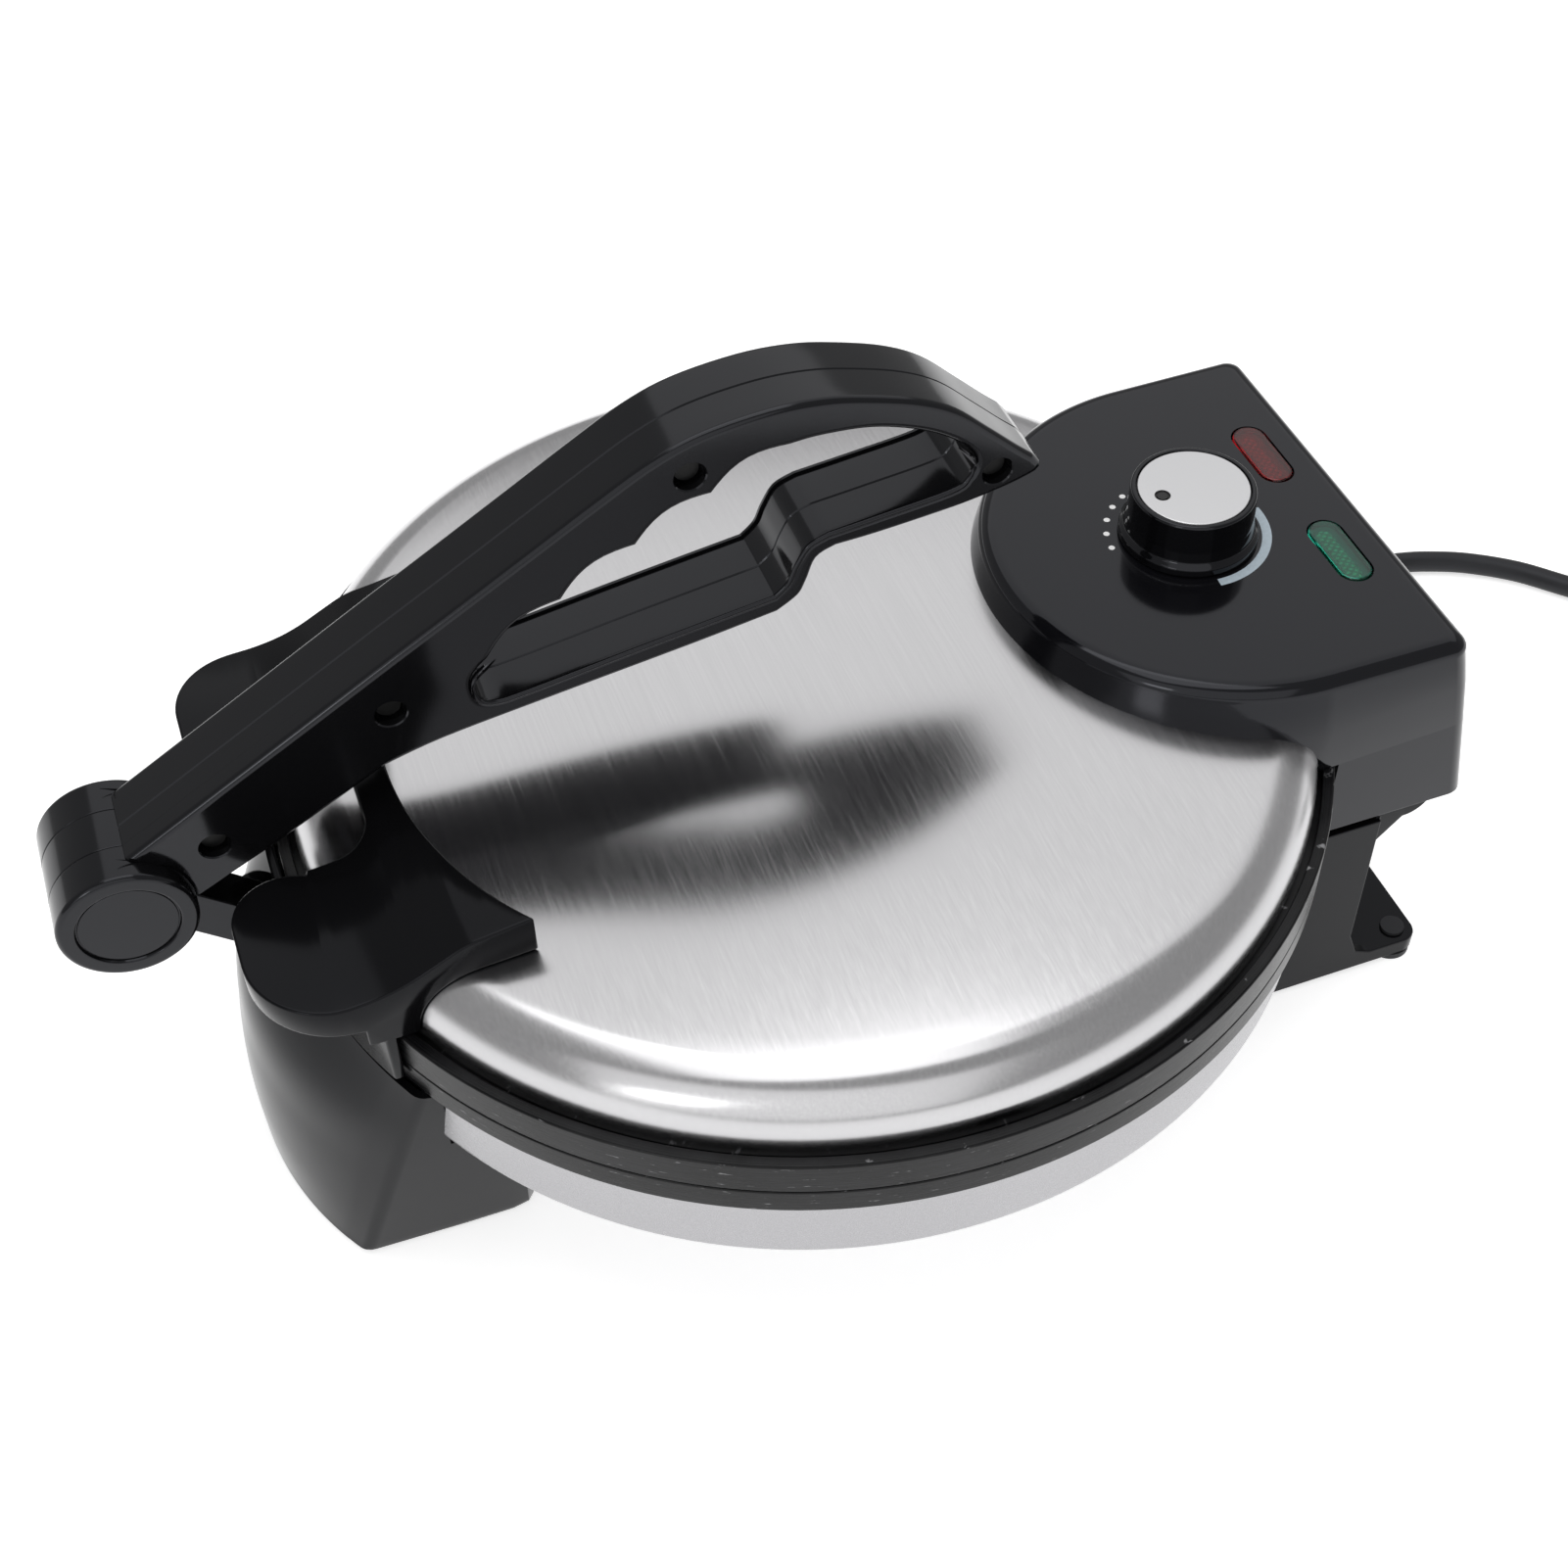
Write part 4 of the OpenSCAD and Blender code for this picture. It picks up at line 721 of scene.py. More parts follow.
def pushed(bm, faces, vec):
    """Extrudes faces along a vector and returns the new far faces."""
    made = bmesh.ops.extrude_face_region(bm, geom=faces)["geom"]
    verts = [v for v in made if isinstance(v, bmesh.types.BMVert)]
    ends = [f for f in made if isinstance(f, bmesh.types.BMFace)]
    bmesh.ops.translate(bm, verts=verts, vec=vec)
    wrong = [f for f in faces if f.normal.dot(Vector(vec)) > 0]
    wrong += [f for f in ends if f.normal.dot(Vector(vec)) < 0]
    bmesh.ops.reverse_faces(bm, faces=wrong)
    return ends


def rounded_rim(bm, faces, radius, steps=4):
    """Rolls the edge of a flat region over by a radius, outwards along its normal."""
    for k in range(steps):
        a, b = pi / 2 * k / steps, pi / 2 * (k + 1) / steps
        bmesh.ops.inset_region(bm, faces=faces, thickness=radius * (cos(a) - cos(b)),
                               depth=radius * (sin(b) - sin(a)), use_boundary=True,
                               use_even_offset=True)


def bridge(bm, first, second):
    """Faces between two loops or chains of edges."""
    return bmesh.ops.bridge_loops(bm, edges=first + second)["faces"]


print("outline helpers ready")

# %% [markdown]
# Each half is pushed inwards in two stages. In the first its inner side steps back round the
# barrel, because the link's drum turns there. The second ends in a fine groove, which shows
# as the parting line along the lever's back. The screws go in from the right, so that half
# has four round mouths with a small lead-in.

# %% Mould the plate of a half
LEVER_HALF, RIM_R, DRUM_HALF = 12.0, 1.7, 6.2
DRUM_GAP, PARTING_W, PARTING_DEEP = 0.3, 0.3, 0.32
PARTING_X = 0.35


def in_side_view(points, x):
    """Points of the side view, about the barrel's middle, at a distance from the middle plane."""
    return [(x, barrel_y + p[0], barrel_z + p[1]) for p in points]


def lever_plate(bm):
    """The half's own moulding, and the faces of its outer side."""
    wide = moved_out(hole, -0.6)
    edges = (closed_loop(bm, in_side_view(outline, LEVER_HALF - RIM_R))
             + closed_loop(bm, in_side_view(wide, LEVER_HALF - RIM_R)))
    face = filled(bm, edges, (1, 0, 0))
    part = pushed(bm, face, (DRUM_HALF + DRUM_GAP - LEVER_HALF + RIM_R, 0, 0))
    part = pushed(bm, part, (0, 0, 0))
    clear_r = barrel_r + DRUM_GAP
    for vert in {v for f in part for v in f.verts}:
        spot = Vector((vert.co.y - barrel_y, vert.co.z - barrel_z))
        if spot.length < clear_r - 0.01:
            out = spot.normalized() * clear_r
            vert.co.y, vert.co.z = barrel_y + out.x, barrel_z + out.y
    part = pushed(bm, part, (PARTING_X - DRUM_HALF - DRUM_GAP, 0, 0))
    bmesh.ops.inset_region(bm, faces=part, thickness=PARTING_W, depth=PARTING_DEEP,
                           use_boundary=True, use_even_offset=True)
    rounded_rim(bm, face, RIM_R, 6)
    bmesh.ops.inset_region(bm, faces=face, thickness=0.1, depth=0, use_boundary=True,
                           use_even_offset=True)
    for vert in {v for f in face for v in f.verts}:
        vert.co.x = LEVER_HALF
    return face


print("plate of a half ready")

# %% [markdown]
# A flat side can be filled round several holes at once: the rings are drawn first, and the
# triangle fill leaves them open. Each ring is then pushed in to make the well of a screw.

# %% Sink the screw mouths
SCREW_SPOTS = [(24.3, 13.6), (70.8, 40.9), (146.3, 88.5), (222.3, 67)]
SCREW_R, SCREW_DEEP, LEAD_IN, SCREW_STEPS = 3.8, 5.0, 0.3, 32
LEAD_DEEP = 0.35


def boundary(faces):
    """The edges round a set of faces."""
    edges = {e for f in faces for e in f.edges}
    return [e for e in edges if sum(g in faces for g in e.link_faces) == 1]


def screw_mouths(bm, face):
    """Replaces the outer side by one with round mouths, and sinks a well at each."""
    ring = boundary(face)
    bmesh.ops.delete(bm, geom=face, context="FACES")
    spots = []
    mouth_r = SCREW_R + LEAD_IN
    for spot in SCREW_SPOTS:
        rim = [(spot[0] + mouth_r * cos(a), spot[1] + mouth_r * sin(a))
               for a in [2 * pi * k / SCREW_STEPS for k in range(SCREW_STEPS)]]
        wide_rim = [(spot[0] + (p[0] - spot[0]) * 1.06, spot[1] + (p[1] - spot[1]) * 1.06)
                    for p in rim]
        inner = closed_loop(bm, in_side_view(rim, LEVER_HALF))
        outer = closed_loop(bm, in_side_view(wide_rim, LEVER_HALF))
        bridge(bm, inner, outer)
        spots.append((inner, outer))
    filled(bm, ring + [e for spot in spots for e in spot[1]], (1, 0, 0))
    for spot, (edges, _) in zip(SCREW_SPOTS, spots):
        centre = Vector((0, barrel_y + spot[0], barrel_z + spot[1]))
        for deep, grow in ((LEAD_DEEP, SCREW_R / mouth_r), (SCREW_DEEP - LEAD_DEEP, 1), (0, 0)):
            made = bmesh.ops.extrude_edge_only(bm, edges=edges)["geom"]
            verts = [v for v in made if isinstance(v, bmesh.types.BMVert)]
            edges = [e for e in made if isinstance(e, bmesh.types.BMEdge)]
            bmesh.ops.translate(bm, verts=verts, vec=(-deep, 0, 0))
            bmesh.ops.scale(bm, verts=verts, vec=(1, grow, grow),
                            space=Matrix.Translation(-centre))


print("mouths at", SCREW_SPOTS)

# %% [markdown]
# The barrel's ends are turned about a line along X and added to the halves. The left half is
# the mirror of the right one without its mouths, and `finish_piece` recalculates its normals.

# %% Mould the two halves


def spun_across(profile, y, z, steps=96, bm=None):
    """Turns a chain of (x, radius) points once round a line along X."""
    bm = bm or bmesh.new()
    verts = [bm.verts.new((x, y, z + r)) for x, r in profile]
    edges = [bm.edges.new(pair) for pair in zip(verts, verts[1:])]
    bmesh.ops.spin(bm, geom=verts + edges, cent=(0, y, z), axis=(1, 0, 0),
                   angle=2 * pi, steps=steps, use_merge=True)
    return bm


def lever_half(side):
    """One half of the lever: 1 is the right one with the screw mouths, -1 the left one."""
    bm = bmesh.new()
    face = lever_plate(bm)
    if side > 0:
        screw_mouths(bm, face)
    end = [(DRUM_HALF + 0.05, barrel_r - 4), (DRUM_HALF + 0.05, barrel_r, 0.25),
           (barrel_end_x, barrel_r, 1.5), (barrel_end_x, barrel_r * 0.74, 0.5),
           (barrel_end_x - 0.9, barrel_r * 0.72), (barrel_end_x - 0.9, barrel_r * 0.6)]
    spun_across(rounded(end, 5), barrel_y, barrel_z, 128, bm)
    if side < 0:
        bmesh.ops.scale(bm, verts=bm.verts, vec=(-1, 1, 1))
    return bm


right_half = finish_piece("lever_side_right", lever_half(1), "lever", gloss_black,
                          ["lever_right"])
left_half = finish_piece("lever_side_left", lever_half(-1), "lever", gloss_black,
                         ["lever_left"])
print("lever halves", len(right_half.data.polygons), len(left_half.data.polygons), "faces")

# %% [markdown]
# A bead runs along the opening's rear, throat and lower side on each face of the lever, and
# tapers off at both of its ends. Each barrel end carries a flat disc in its dish.

# %% Add the beads and the end discs
BEAD_W, BEAD_H, BEAD_R, BEAD_ROOT = 1.5, 0.45, 0.7, 0.8
BEAD_FROM = 24
bead = (line2(hole_back, CURVE_STEPS)[BEAD_FROM:-1] + line2(hole_throat, CURVE_STEPS)[:-1]
        + line2(hole_low, CURVE_STEPS)[:-1])
slim_bead = moved_out(bead, 0.1)[1:-1]
wide_bead = moved_out(bead, -BEAD_W)[1:-1]
last = len(wide_bead) - 1
for k in range(len(wide_bead)):
    slim = min(1, k / 14 + 0.12, (last - k) / 8 + 0.12)
    wide_bead[k] = slim_bead[k].lerp(wide_bead[k], slim)
bm = bmesh.new()
for side in (1, -1):
    strip = slim_bead + wide_bead[::-1]
    edges = closed_loop(bm, in_side_view(strip, (LEVER_HALF - BEAD_ROOT) * side))
    face = filled(bm, edges, (side, 0, 0))
    part = pushed(bm, face, ((BEAD_ROOT + BEAD_H - BEAD_R) * side, 0, 0))
    rounded_rim(bm, part, BEAD_R, 4)
finish_piece("lever_beads", bm, "lever", gloss_black)
bm = bmesh.new()
disc_r = barrel_r * 0.705
for side in (1, -1):
    x = barrel_end_x * side
    disc = [(x - 0.6 * side, 0), (x - 0.6 * side, disc_r, 0.25), (x - 1.2 * side, disc_r)]
    spun_across(rounded(disc, 3), barrel_y, barrel_z, 96, bm)
finish_piece("barrel_discs", bm, "lever", gloss_black, ["barrel_caps"])
print("beads and discs added")

# %% [markdown]
# ## The control housing
#
# The housing is a round skirt that sits on the lid, with straight sides and a square back.
# Its plan is drawn at several heights and the rings are bridged. A level is the height, the
# front's radius, half the width of the sides, where the back is, and the back's corner
# radius. The top edge is a fillet, so its levels come from a quarter circle.

# %% Loft the upper part of the housing
HOUSE_Y = 118.0
HOUSE_SIDE = 63.7
SKIRT_Z = 98.6
FILLET, FILLET_STEPS = 4.2, 8
FRONT_STEPS, CORNER_STEPS = 72, 8
PANEL_SINK = 0.9
panel_z = house_peak_z - PANEL_SINK


def house_plan(front_r, half, back, corner):
    """Points round the housing: the round front, then the two back corners."""
    points = [(front_r * cos(a), HOUSE_Y + front_r * sin(a))
              for a in [pi + pi * k / FRONT_STEPS for k in range(FRONT_STEPS + 1)]]
    for cx, start in ((half - corner, 0), (corner - half, pi / 2)):
        turns = [start + pi / 2 * k / CORNER_STEPS for k in range(CORNER_STEPS + 1)]
        points += [(cx + corner * cos(a), back - corner + corner * sin(a)) for a in turns]
    return points


def bridged(bm, rings):
    """Faces between each ring or chain of edges and the next."""
    for first, second in zip(rings, rings[1:]):
        bridge(bm, first, second)


house_levels = [(SKIRT_Z, 65.2, HOUSE_SIDE, 162.0, 5.0), (113, 66, HOUSE_SIDE, 159.4, 5.0),
                (121, 64.2, HOUSE_SIDE - 0.1, 157.6, 5.0)]
for k in range(FILLET_STEPS + 1):
    a = pi / 2 * k / FILLET_STEPS
    back_in = FILLET * (1 - cos(a))
    house_levels.append((panel_z - FILLET * (1 - sin(a)), 63.2 - back_in, 63.5 - back_in,
                         156.8 - back_in, 5.0 - 0.3 * k))
house_levels.append((panel_z, 58.2, 58.5, 151.8, 2.4))
bm = bmesh.new()
rings = [closed_loop(bm, [(x, y, z) for x, y in house_plan(*level)])
         for z, *level in house_levels]
bridged(bm, rings)
print("upper part of", len(rings), "levels, panel at", round(panel_z, 2))

# %% [markdown]
# The panel is a flat face between the top ring and two slot-shaped windows. Its edges are
# filled as one flat region, and the windows' edges are pushed down to make their walls.

# %% Open the lamp windows
LENS_L, LENS_W = 24.0, 9.0
WINDOW_PLAY, WINDOW_DEEP = 1.0, 4.0


def stadium(length, width, steps=12):
    """Points round a slot shape of that length and width."""
    r, half = width / 2, (length - width) / 2
    ends = [(half, -pi / 2), (-half, pi / 2)]
    return [(c + r * cos(a + pi * k / steps), r * sin(a + pi * k / steps))
            for c, a in ends for k in range(steps + 1)]


def slot_ring(bm, spot, length, width, z):
    """A closed loop in a slot shape round an (x, y) place."""
    return closed_loop(bm, [(spot[0] + p, spot[1] + q, z) for p, q in stadium(length, width)])


lamp_spots = {}
for name in ("lamp_red", "lamp_green"):
    low, high = spans(name)
    lamp_spots[name] = ((low.x + high.x) / 2, (low.y + high.y) / 2)
windows = [slot_ring(bm, spot, LENS_L + WINDOW_PLAY, LENS_W + WINDOW_PLAY, panel_z)
           for spot in lamp_spots.values()]
filled(bm, rings[-1] + windows[0] + windows[1], (0, 0, 1))
for edges in windows:
    made = bmesh.ops.extrude_edge_only(bm, edges=edges)["geom"]
    verts = [v for v in made if isinstance(v, bmesh.types.BMVert)]
    bmesh.ops.translate(bm, verts=verts, vec=(0, 0, -WINDOW_DEEP))
print("windows at", lamp_spots)

# %% [markdown]
# The lower part only stands behind the plates, so its plan follows their round edge with a
# small gap. It is bridged down its outer side, round its lower edge and up inside, which
# gives the wall its thickness.

# %% Loft the lower part of the housing
WALL, PLATE_GAP, ARC_STEPS = 1.3, 1.3, 40
gap_r = plate_r + PLATE_GAP
join_z = SKIRT_Z + 0.1


def lower_plan(half, back, corner, gap):
    """The housing's plan behind the plates, closed along their round edge."""
    points = house_plan(60, half, back, corner)[FRONT_STEPS + 1:]
    turn_a = asin(half / gap)
    turns = [turn_a * (1 - 2 * k / ARC_STEPS) for k in range(ARC_STEPS + 1)]
    return points + [(-gap * sin(a), gap * cos(a)) for a in turns]


inner_side = HOUSE_SIDE - WALL
lower_levels = [(join_z, lower_plan(HOUSE_SIDE, 162.0, 5, gap_r)),
                (house_z + 0.5, lower_plan(HOUSE_SIDE, house_back - 0.1, 5, gap_r)),
                (house_z + 0.15, lower_plan(HOUSE_SIDE - 0.15, house_back - 0.25, 5, gap_r + 0.15)),
                (house_z, lower_plan(HOUSE_SIDE - 0.5, house_back - 0.6, 5, gap_r + 0.5)),
                (house_z, lower_plan(inner_side, house_back - WALL, 4, gap_r + WALL)),
                (join_z, lower_plan(inner_side, 162 - WALL, 4, gap_r + WALL))]
bridged(bm, [closed_loop(bm, [(x, y, z) for x, y in plan]) for z, plan in lower_levels])
housing = finish_piece("housing", bm, "lid", panel_black, ["control_housing"])
print("housing", len(housing.data.polygons), "faces")

# %% [markdown]
# ## Lamps
#
# Each lamp is a clear coloured lens in its window, with a light bar under it. The bars have
# fine crossed ribs, so the strip in the lens looks woven. A black floor closes each window.

# %% Fit the lamps
LENS_Z, LENS_DEEP, LENS_RIM = -2.4, 2.1, 0.7
BAR_L, BAR_W, BAR_Z, WELL_Z = 19.5, 4.2, -3.4, -3.6
lamp_looks = ((lens_red, bar_red, "lens_red"), (lens_green, bar_green, "lens_green"))
for (name, spot), (clear, bar, slot) in zip(lamp_spots.items(), lamp_looks):
    bm = bmesh.new()
    ring = slot_ring(bm, spot, LENS_L, LENS_W, panel_z + LENS_Z)
    part = pushed(bm, filled(bm, ring, (0, 0, 1)), (0, 0, LENS_DEEP))
    rounded_rim(bm, part, LENS_RIM, 4)
    finish_piece(name + "_lens", bm, "lid", clear, [name])
    bm = bmesh.new()
    ring = slot_ring(bm, spot, BAR_L, BAR_W, panel_z + BAR_Z)
    part = pushed(bm, filled(bm, ring, (0, 0, 1)), (0, 0, 0.5))
    bmesh.ops.inset_region(bm, faces=part, thickness=0.5, depth=0.4, use_boundary=True,
                           use_even_offset=True)
    finish_piece(name + "_bar", bm, "lid", bar)
bm = bmesh.new()
for spot in lamp_spots.values():
    filled(bm, slot_ring(bm, spot, LENS_L + 0.8, LENS_W + 0.8, panel_z + WELL_Z), (0, 0, 1))
finish_piece("lamp_wells", bm, "lid", recess_black)
print("lamps fitted:", list(lamp_spots))

# %% [markdown]
# ## The dial
#
# The knob is turned: a flared foot, a plain wall and a thin rim round the silver cap.

# %% Turn the knob
knob_low, knob_high = spans("dial_knob")
KNOB_R, FOOT_LIFT = 16.5, 0.25
foot_z = panel_z + FOOT_LIFT
foot_r = (knob_high.x - knob_low.x) / 2
knob_line = [(0, foot_z), (foot_r - 0.6, foot_z, 0.5), (foot_r - 0.8, foot_z + 2.2, 1.0),
             (KNOB_R + 0.5, foot_z + 3.4, 1.5), (KNOB_R + 0.1, foot_z + 6.5, 3),
             (KNOB_R - 0.2, dial_top_z + 0.1, 0.8), (dial_cap_r + 0.35, dial_top_z + 0.1, 0.3),
             (dial_cap_r + 0.1, dial_top_z - 0.9), (dial_cap_r - 3, dial_top_z - 0.9)]
bm = spun(rounded(knob_line, 5), 128, (0, dial_y))
knob = finish_piece("knob", bm, "knob", knob_black, ["dial_knob"])
print("knob", len(knob.data.polygons), "faces")

# %% [markdown]
# The dial's metal cap is a thin disc with a small rounded edge and one round pointer hole
# towards the front. A stepped black floor lies in the hole.

# %% Cut the cap and its pointer
POINTER_R, POINTER_OUT = 2.1, 9.0
CAP_CHAMFER, CAP_THICK, HOLE_DEEP = 0.35, 0.7, 0.6
pointer_y = dial_y - POINTER_OUT


def circle_ring(bm, r, y, z, steps):
    """A closed loop round a level circle on the middle plane."""
    turns = [2 * pi * k / steps for k in range(steps)]
    return closed_loop(bm, [(r * cos(a), y + r * sin(a), z) for a in turns])


bm = bmesh.new()
ring = circle_ring(bm, dial_cap_r, dial_y, dial_top_z - CAP_CHAMFER, 128)
face = filled(bm, ring, (0, 0, 1))
pushed(bm, face, (0, 0, -CAP_THICK))
rounded_rim(bm, face, CAP_CHAMFER, 3)
ring = boundary(face)
bmesh.ops.delete(bm, geom=face, context="FACES")
hole_ring = circle_ring(bm, POINTER_R, pointer_y, dial_top_z, 32)
filled(bm, ring + hole_ring, (0, 0, 1))
made = bmesh.ops.extrude_edge_only(bm, edges=hole_ring)["geom"]
bmesh.ops.translate(bm, verts=[v for v in made if isinstance(v, bmesh.types.BMVert)],
                    vec=(0, 0, -HOLE_DEEP))
cap = finish_piece("dial_disc", bm, "knob", dial_silver, ["dial_cap"])
step_z, floor_z = dial_top_z - 0.15, dial_top_z - HOLE_DEEP
bm = spun([(0, step_z), (POINTER_R - 0.7, step_z), (POINTER_R - 0.6, floor_z),
           (POINTER_R + 0.1, floor_z)], 32, (0, pointer_y))
finish_piece("pointer_floor", bm, "knob", recess_black)
print("cap", len(cap.data.polygons), "faces")

# %% [markdown]
# The scale on the panel is printed: five dots on the left, and a pale arc on the right. The
# dots are filled circles and the arc is two chains of edges, bridged, a hair above the panel.

# %% Print the dial's scale
DOT_ANGLES, DOT_RING, DOT_R = (207, 221, 236, 251, 266), 21.3, 0.85
ARC_IN, ARC_OUT, ARC_FROM, ARC_SPAN, ARC_PARTS = 19.4, 21.9, 95, -99, 48
PRINT_LIFT = 0.03
print_z = panel_z + PRINT_LIFT


def open_chain(bm, points):
    """Edges along a chain of points."""
    verts = [bm.verts.new(point) for point in points]
    return [bm.edges.new(pair) for pair in zip(verts, verts[1:])]


bm = bmesh.new()
for angle in [radians(degree) for degree in DOT_ANGLES]:
    place = (DOT_RING * cos(angle), dial_y + DOT_RING * sin(angle), print_z)
    bmesh.ops.create_circle(bm, cap_ends=True, segments=20, radius=DOT_R,
                            matrix=Matrix.Translation(place))
finish_piece("scale_dots", bm, "lid", print_white, weighted=False)
bm = bmesh.new()
turns = [radians(ARC_FROM + ARC_SPAN * k / ARC_PARTS) for k in range(ARC_PARTS + 1)]
sides = [open_chain(bm, [(r * cos(a), dial_y + r * sin(a), print_z) for a in turns])
         for r in (ARC_IN, ARC_OUT)]
bridge(bm, *sides)
finish_piece("scale_arc", bm, "lid", print_blue, weighted=False)
print("scale printed")

# %% [markdown]
# ## The front bracket
#
# The bracket is a thin wall with a bellied front, soft corners and flat sides. Its plan is
# an open chain of points, drawn at many heights and bridged. A level is a share of the way
# down, where the corner is and where the face is, and a smooth curve runs through five
# chosen levels. Above the pan's underside the sides stop short, because the pan stands
# there. The wall then gets its thickness and a rounded rim.

# %% Plan the front bracket
REAR_Y, SIDE_CUT = 97.0, 117.0
TOP_HALF, TAPER = 68, 14
FACE_STEPS = 24
low, high = spans("front_bracket")
stand_z = low.z
skin_top = rim_z - 0.2
belly = [(0, 122.4, 140), (0.23, 127.4, 154), (0.5, 133.2, 158.5), (0.76, 138.8, 160.5),
         (1, 144, 160.5)]
levels = [tuple(level) for level in through(belly, 7)]


def bracket_chain(s, corner_y, face_y, inset):
    """The wall's plan at a share of its height: the arched face, soft corners and sides."""
    corner_x = TOP_HALF - TAPER * s - inset
    face_y, corner_y = face_y - inset, corner_y - inset
    sag = face_y - corner_y
    r = (corner_x ** 2 + sag ** 2) / (2 * sag)
    half_a = asin(corner_x / r)
    turns = [half_a * k / FACE_STEPS for k in range(FACE_STEPS + 1)]
    face = [(r * sin(a), -face_y + r - r * cos(a)) for a in turns]
    side = [(corner_x + 1.0, -REAR_Y - 7), (corner_x + 0.2, -REAR_Y - 2.5),
            (corner_x - 2, -REAR_Y - 0.6), (corner_x - 6, -REAR_Y)]
    tip = Vector(face[-1])
    knee = [tip + (Vector(face[-3]) - tip) * 0.5, tip, tip + Vector((0.06, 0.998)) * 2.5]
    bend = [knee[0].lerp(knee[1], q).lerp(knee[1].lerp(knee[2], q), q)
            for q in (0, 0.25, 0.5, 0.75, 1)]
    cut = [(corner_x + 0.9, -SIDE_CUT)] if tip.y < -SIDE_CUT - 3 else [(corner_x + 0.3, tip.y + 4)]
    half = face[:-3] + [tuple(p) for p in bend] + cut + side
    return [(-x, y) for x, y in half[:0:-1]] + half


print(len(levels), "levels from", round(stand_z, 1), "to", round(skin_top, 1))

# %% [markdown]
# One chain is drawn at each level, starting with a slightly smaller one at the foot, and
# neighbouring chains are bridged. Solidify thickens towards a face's back or front, so the
# sign of the thickness is chosen from the way the faces look.

# %% Loft the wall
BRACKET_WALL, FOOT_IN, FOOT_ROUND, RIM_BEVEL = 2.2, 0.8, 0.6, 0.5
bm = bmesh.new()
foot = bracket_chain(1, 144, 160.5, FOOT_IN)
chains = [open_chain(bm, [(x, y, stand_z) for x, y in foot])]
for s, corner_y, face_y in levels[::-1]:
    z = max(stand_z + FOOT_ROUND, skin_top + (stand_z - skin_top) * s)
    plan = bracket_chain(s, corner_y, face_y, 0.0)
    chains.append(open_chain(bm, [(x, y, z) for x, y in plan]))
bridged(bm, chains)
beside_pan = [f for f in bm.faces if f.calc_center_median().y > -SIDE_CUT
              and f.calc_center_median().z > body_z - 1]
bmesh.ops.delete(bm, geom=beside_pan, context="FACES")
bmesh.ops.recalc_face_normals(bm, faces=bm.faces)
outward = sum(f.normal.y * f.calc_center_median().y for f in bm.faces)
bmesh.ops.solidify(bm, geom=bm.faces[:], thickness=BRACKET_WALL if outward > 0 else -BRACKET_WALL)
sharp_edges = [e for e in bm.edges
               if len(e.link_faces) == 2 and e.calc_face_angle(0) > radians(60)]
bmesh.ops.bevel(bm, geom=sharp_edges, offset=RIM_BEVEL, segments=2, affect="EDGES",
                profile=0.5, material=-1, clamp_overlap=True)
bracket = finish_piece("bracket_front", bm, "base", satin_black,
                       ["front_bracket"])
print("front bracket", len(bracket.data.polygons), "faces")

# %% [markdown]
# Inside the wall there are a deck under the pan, a floor, and two ears for the link's pin.

# %% Add the deck, the floor and the ears
DECK_THICK, FLOOR_THICK, FLOOR_LIFT = 2.6, 2.2, 2.4
EAR_R, EAR_IN, EAR_OUT, EAR_DEEP, EAR_RIM = 5.7, 6.9, 10.5, 27, 0.5
bm = bmesh.new()
inner_plans = ((bracket_chain(0.4, 131.2, 156.5, 1.2), body_z - 0.2, DECK_THICK),
               (bracket_chain(0.99, 143.5, 160.5, 1.5), stand_z + FLOOR_LIFT, FLOOR_THICK))
for plan, z, thick in inner_plans:
    face = filled(bm, closed_loop(bm, [(x, y, z) for x, y in plan]), (0, 0, 1))
    pushed(bm, face, (0, 0, -thick))
for side in (1, -1):
    outline_ear = [(link_y + EAR_R * cos(a), link_z + EAR_R * sin(a))
                   for a in [pi * k / 24 for k in range(25)]]
    outline_ear += [(link_y - 7, link_z - EAR_DEEP), (link_y + 5, link_z - EAR_DEEP)]
    ring = closed_loop(bm, [(EAR_IN * side, y, z) for y, z in outline_ear])
    part = pushed(bm, filled(bm, ring, (side, 0, 0)),
                  ((EAR_OUT - EAR_IN - EAR_RIM) * side, 0, 0))
    rounded_rim(bm, part, EAR_RIM, 2)
finish_piece("bracket_front_inner", bm, "base", satin_black)
print("deck, floor and ears added")

# %% [markdown]
# ## Softer copies of the remaining mouldings
#
# The lid grip, the rear bracket, the link and the housing's underside keep their CAD
# shape. Each gets a copy whose loose triangles are merged and whose sharp edges are
# bevelled, as a moulded part has them. The grip's top is one soft curve, so it is shaded
# smooth up to a wider angle, and without weighted normals.

# %% Soften the other mouldings
MERGE, FLAT_ANGLE, SHARP_ANGLE = 0.4, 1.5, 30
SMOOTH_CREASE, PLAIN_CREASE = 60, 38


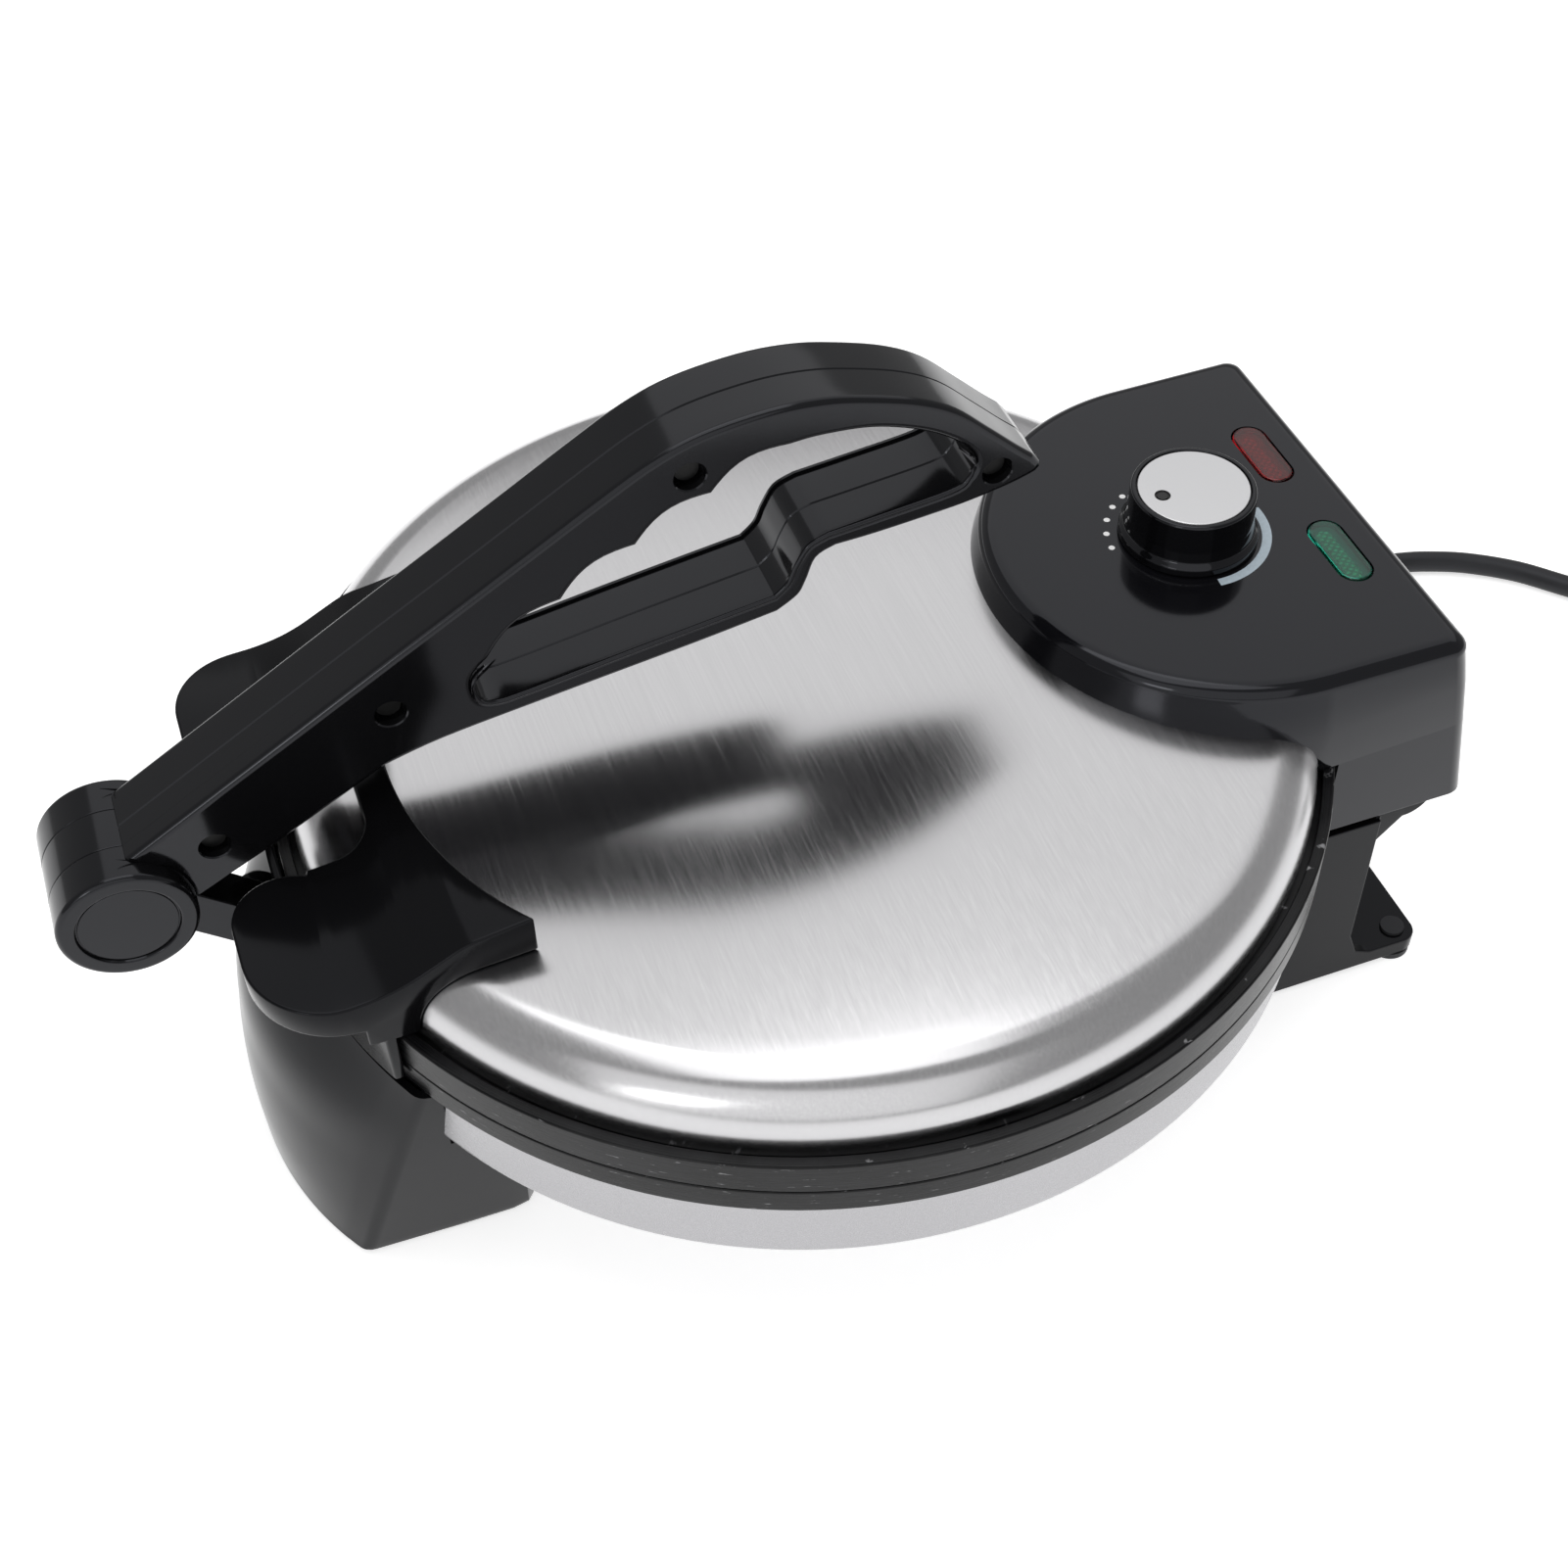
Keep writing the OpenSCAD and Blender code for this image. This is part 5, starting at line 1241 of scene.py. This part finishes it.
def softened(name, body, finish, width, segments, crease):
    """A merged copy of a CAD node with its sharp edges rounded."""
    bm = bmesh.new()
    bm.from_mesh(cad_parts[name].data)
    bmesh.ops.remove_doubles(bm, verts=bm.verts, dist=MERGE * MM)
    bmesh.ops.dissolve_limit(bm, angle_limit=radians(FLAT_ANGLE), verts=bm.verts,
                             edges=bm.edges)
    edges = [e for e in bm.edges if len(e.link_faces) == 2
             and e.calc_face_angle(0) > radians(SHARP_ANGLE)]
    bmesh.ops.bevel(bm, geom=edges, offset=width * MM, segments=segments, affect="EDGES",
                    profile=0.5, material=-1, clamp_overlap=False)
    bmesh.ops.scale(bm, verts=bm.verts, vec=(1 / MM, 1 / MM, 1 / MM))
    bmesh.ops.translate(bm, verts=bm.verts, vec=(0, -plates_y, 0))
    return finish_piece(name + "_soft", bm, body, finish, [name], crease,
                        crease == PLAIN_CREASE)


for name, body, finish, width, segments, crease in (
        ("lid_grip", "lid", satin_black, 0.7, 3, SMOOTH_CREASE),
        ("rear_bracket", "base", satin_black, 0.6, 2, PLAIN_CREASE),
        ("link_bar", "link", gloss_black, 0.4, 2, PLAIN_CREASE),
        ("housing_underside", "lid", satin_black, 0.3, 2, PLAIN_CREASE)):
    piece = softened(name, body, finish, width, segments, crease)
    print(name, len(piece.data.polygons), "faces")

# %% [markdown]
# ## The cord
#
# A mains lead of 7 mm, about 1.2 m long. It leaves the rear bracket through a tapered
# relief, bends down to the table and leaves the picture behind the housing. The rest is
# put away out of view in a round coil, nearly two turns below and two above, held by a soft
# tie. The route on the table is a list of chosen points; the coil's turns come from a formula.

# %% Wind the coil
CORD_D = 7.0
COIL_R, COIL_PITCH, COIL_TURNS, COIL_CLIMB = 45.5, CORD_D + 0.5, 1.8, 0.5
COIL_CENTRE, COIL_START, COIL_Z = (-51, 367), radians(-48), CORD_D / 2 + 0.9
COIL_POINTS = 30


def coil_point(u):
    """In along the lower layer, a climb in half a turn, and out along the upper one."""
    inner = COIL_R - COIL_PITCH * COIL_TURNS
    s = (u - COIL_TURNS) / COIL_CLIMB
    climb = min(max(s, 0), 1)
    if s <= 0:
        r = COIL_R - COIL_PITCH * u
    elif s >= 1:
        r = inner + COIL_PITCH * (u - COIL_TURNS - COIL_CLIMB)
    else:
        r = inner - 2 * sin(pi * s)
    angle = COIL_START + 2 * pi * u
    z = COIL_Z + COIL_PITCH * climb * climb * (3 - 2 * climb)
    return (COIL_CENTRE[0] + r * cos(angle), COIL_CENTRE[1] + r * sin(angle), z)


coil_span = 2 * COIL_TURNS + COIL_CLIMB
coil = [coil_point(coil_span * i / COIL_POINTS) for i in range(COIL_POINTS + 1)]
print("coil of", coil_span, "turns")

# %% [markdown]
# The lead, the coil and the tail are joined into one smooth route. A curve object follows
# it, and its round bevel gives the cord its thickness.

# %% Run the cord
lead_route = [(-54, plates_y + 172, 28), (-55.5, 197.5, 26.5), (-60, 207.5, 22.5),
              (-65.5, 215.5, 17.5), (-72, 223, 12.5), (-77.5, 230, 8), (-82, 238, 5),
              (-84, 247.5, 3.7), (-82, 260, 3.5), (-79, 269.5, 3.5), (-73.5, 281, 3.5),
              (-64, 294, 3.5), (-52, 305, 3.6), (-39, 316.7, 4)]
tail_route = [(-3, 374, 12.6), (3, 384, 14.5), (12, 391, 16.6), (23, 396, 18.2)]
route = through(lead_route + coil + tail_route, 6)
curve = bpy.data.curves.new("mains_lead", "CURVE")
curve.dimensions = "3D"
curve.bevel_depth = CORD_D / 2 * MM
curve.bevel_resolution = 6
curve.materials.append(cord_black)
spline = curve.splines.new("POLY")
spline.points.add(len(route) - 1)
for point, place in zip(spline.points, route):
    point.co = (*(place * MM), 1)
mains_lead = bpy.data.objects.new("mains_lead", curve)
bpy.context.scene.collection.objects.link(mains_lead)
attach(mains_lead, "base")
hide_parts("mains_cord", "cord_coil", "cord_tail")

# %% [markdown]
# ## Floor
#
# The floor is plain and white, and keeps the press's shadow. Its whiteness comes from its own
# colour and from a glow that only the camera, reflections and clear plastic see.

# %% Lay the floor
FLOOR_SIZE, FLOOR_GLOW = 4, 0.6
bm = bmesh.new()
bmesh.ops.create_grid(bm, x_segments=1, y_segments=1, size=FLOOR_SIZE)
mesh = bpy.data.meshes.new("floor")
bm.to_mesh(mesh)
bm.free()
floor = bpy.data.objects.new("floor", mesh)
bpy.context.scene.collection.objects.link(floor)


def either(tree, *values):
    """The largest of some values, such as the rays that a Light Path node tells apart."""
    most = values[0]
    for value in values[1:]:
        most = node(tree, "ShaderNodeMath", {0: most, 1: value}, operation="MAXIMUM").outputs[0]
    return most


paper, tree, shader = start_material("paper", (0.9, 0.9, 0.9), 0.9)
path = node(tree, "ShaderNodeLightPath")
seen = either(tree, *[path.outputs[ray] for ray in ("Is Camera Ray", "Is Glossy Ray",
                                                    "Is Transmission Ray")])
glow = node(tree, "ShaderNodeMath", {0: seen, 1: FLOOR_GLOW}, operation="MULTIPLY")
shader.inputs["Emission Color"].default_value = (1, 1, 1, 1)
tree.links.new(glow.outputs[0], shader.inputs["Emission Strength"])
mesh.materials.append(paper)
print("floor laid")

# %% [markdown]
# ## Light
#
# The room is white to the camera and behind clear plastic, and dimmer to everything else.

# %% Light the room
ROOM_LEVEL = 0.42
world = bpy.data.worlds.new("room")
bpy.context.scene.world = world
world.use_nodes = True
room = world.node_tree.nodes["Background"]
room.inputs["Color"].default_value = (1, 1, 1, 1)
path = node(world.node_tree, "ShaderNodeLightPath")
level = either(world.node_tree, path.outputs["Is Camera Ray"],
               path.outputs["Is Transmission Ray"], ROOM_LEVEL)
world.node_tree.links.new(level, room.inputs["Strength"])
print("room level", ROOM_LEVEL)

# %% [markdown]
# One broad soft light hangs over and behind the press, where the level surfaces reflect it.
# A wide one fills the front, and two small ones lighten the lid's middle and the near edges.
# Broad lamps give black plastic wide, soft reflections.

# %% Hang the lamps


def soft_light(name, place, aim, size, power):
    """A rectangular soft light, with its place and size in metres and its power in watts."""
    lamp = bpy.data.lights.new(name, "AREA")
    lamp.shape, lamp.size, lamp.size_y = "RECTANGLE", size[0], size[1]
    lamp.energy = power
    held = bpy.data.objects.new(name, lamp)
    bpy.context.scene.collection.objects.link(held)
    held.location = place
    held.rotation_euler = (Vector(aim) - Vector(place)).to_track_quat("-Z", "Y").to_euler()


soft_light("over", (-0.8, 0.5, 1.15), (-0.75, 0.49, 0.1), (1.9, 1.6), 6.6)
soft_light("near", (0.05, -0.05, 1.2), (0.05, -0.05, 0.1), (0.8, 0.8), 3.4)
soft_light("front", (1.4, -0.6, 0.9), (0, 0, 0.15), (2.3, 1.6), 9)
soft_light("edge", (1.0, -0.95, 0.6), (0, 0, 0.1), (0.3, 0.3), 1.2)
print("lamps:", [lamp.name for lamp in bpy.data.lights])
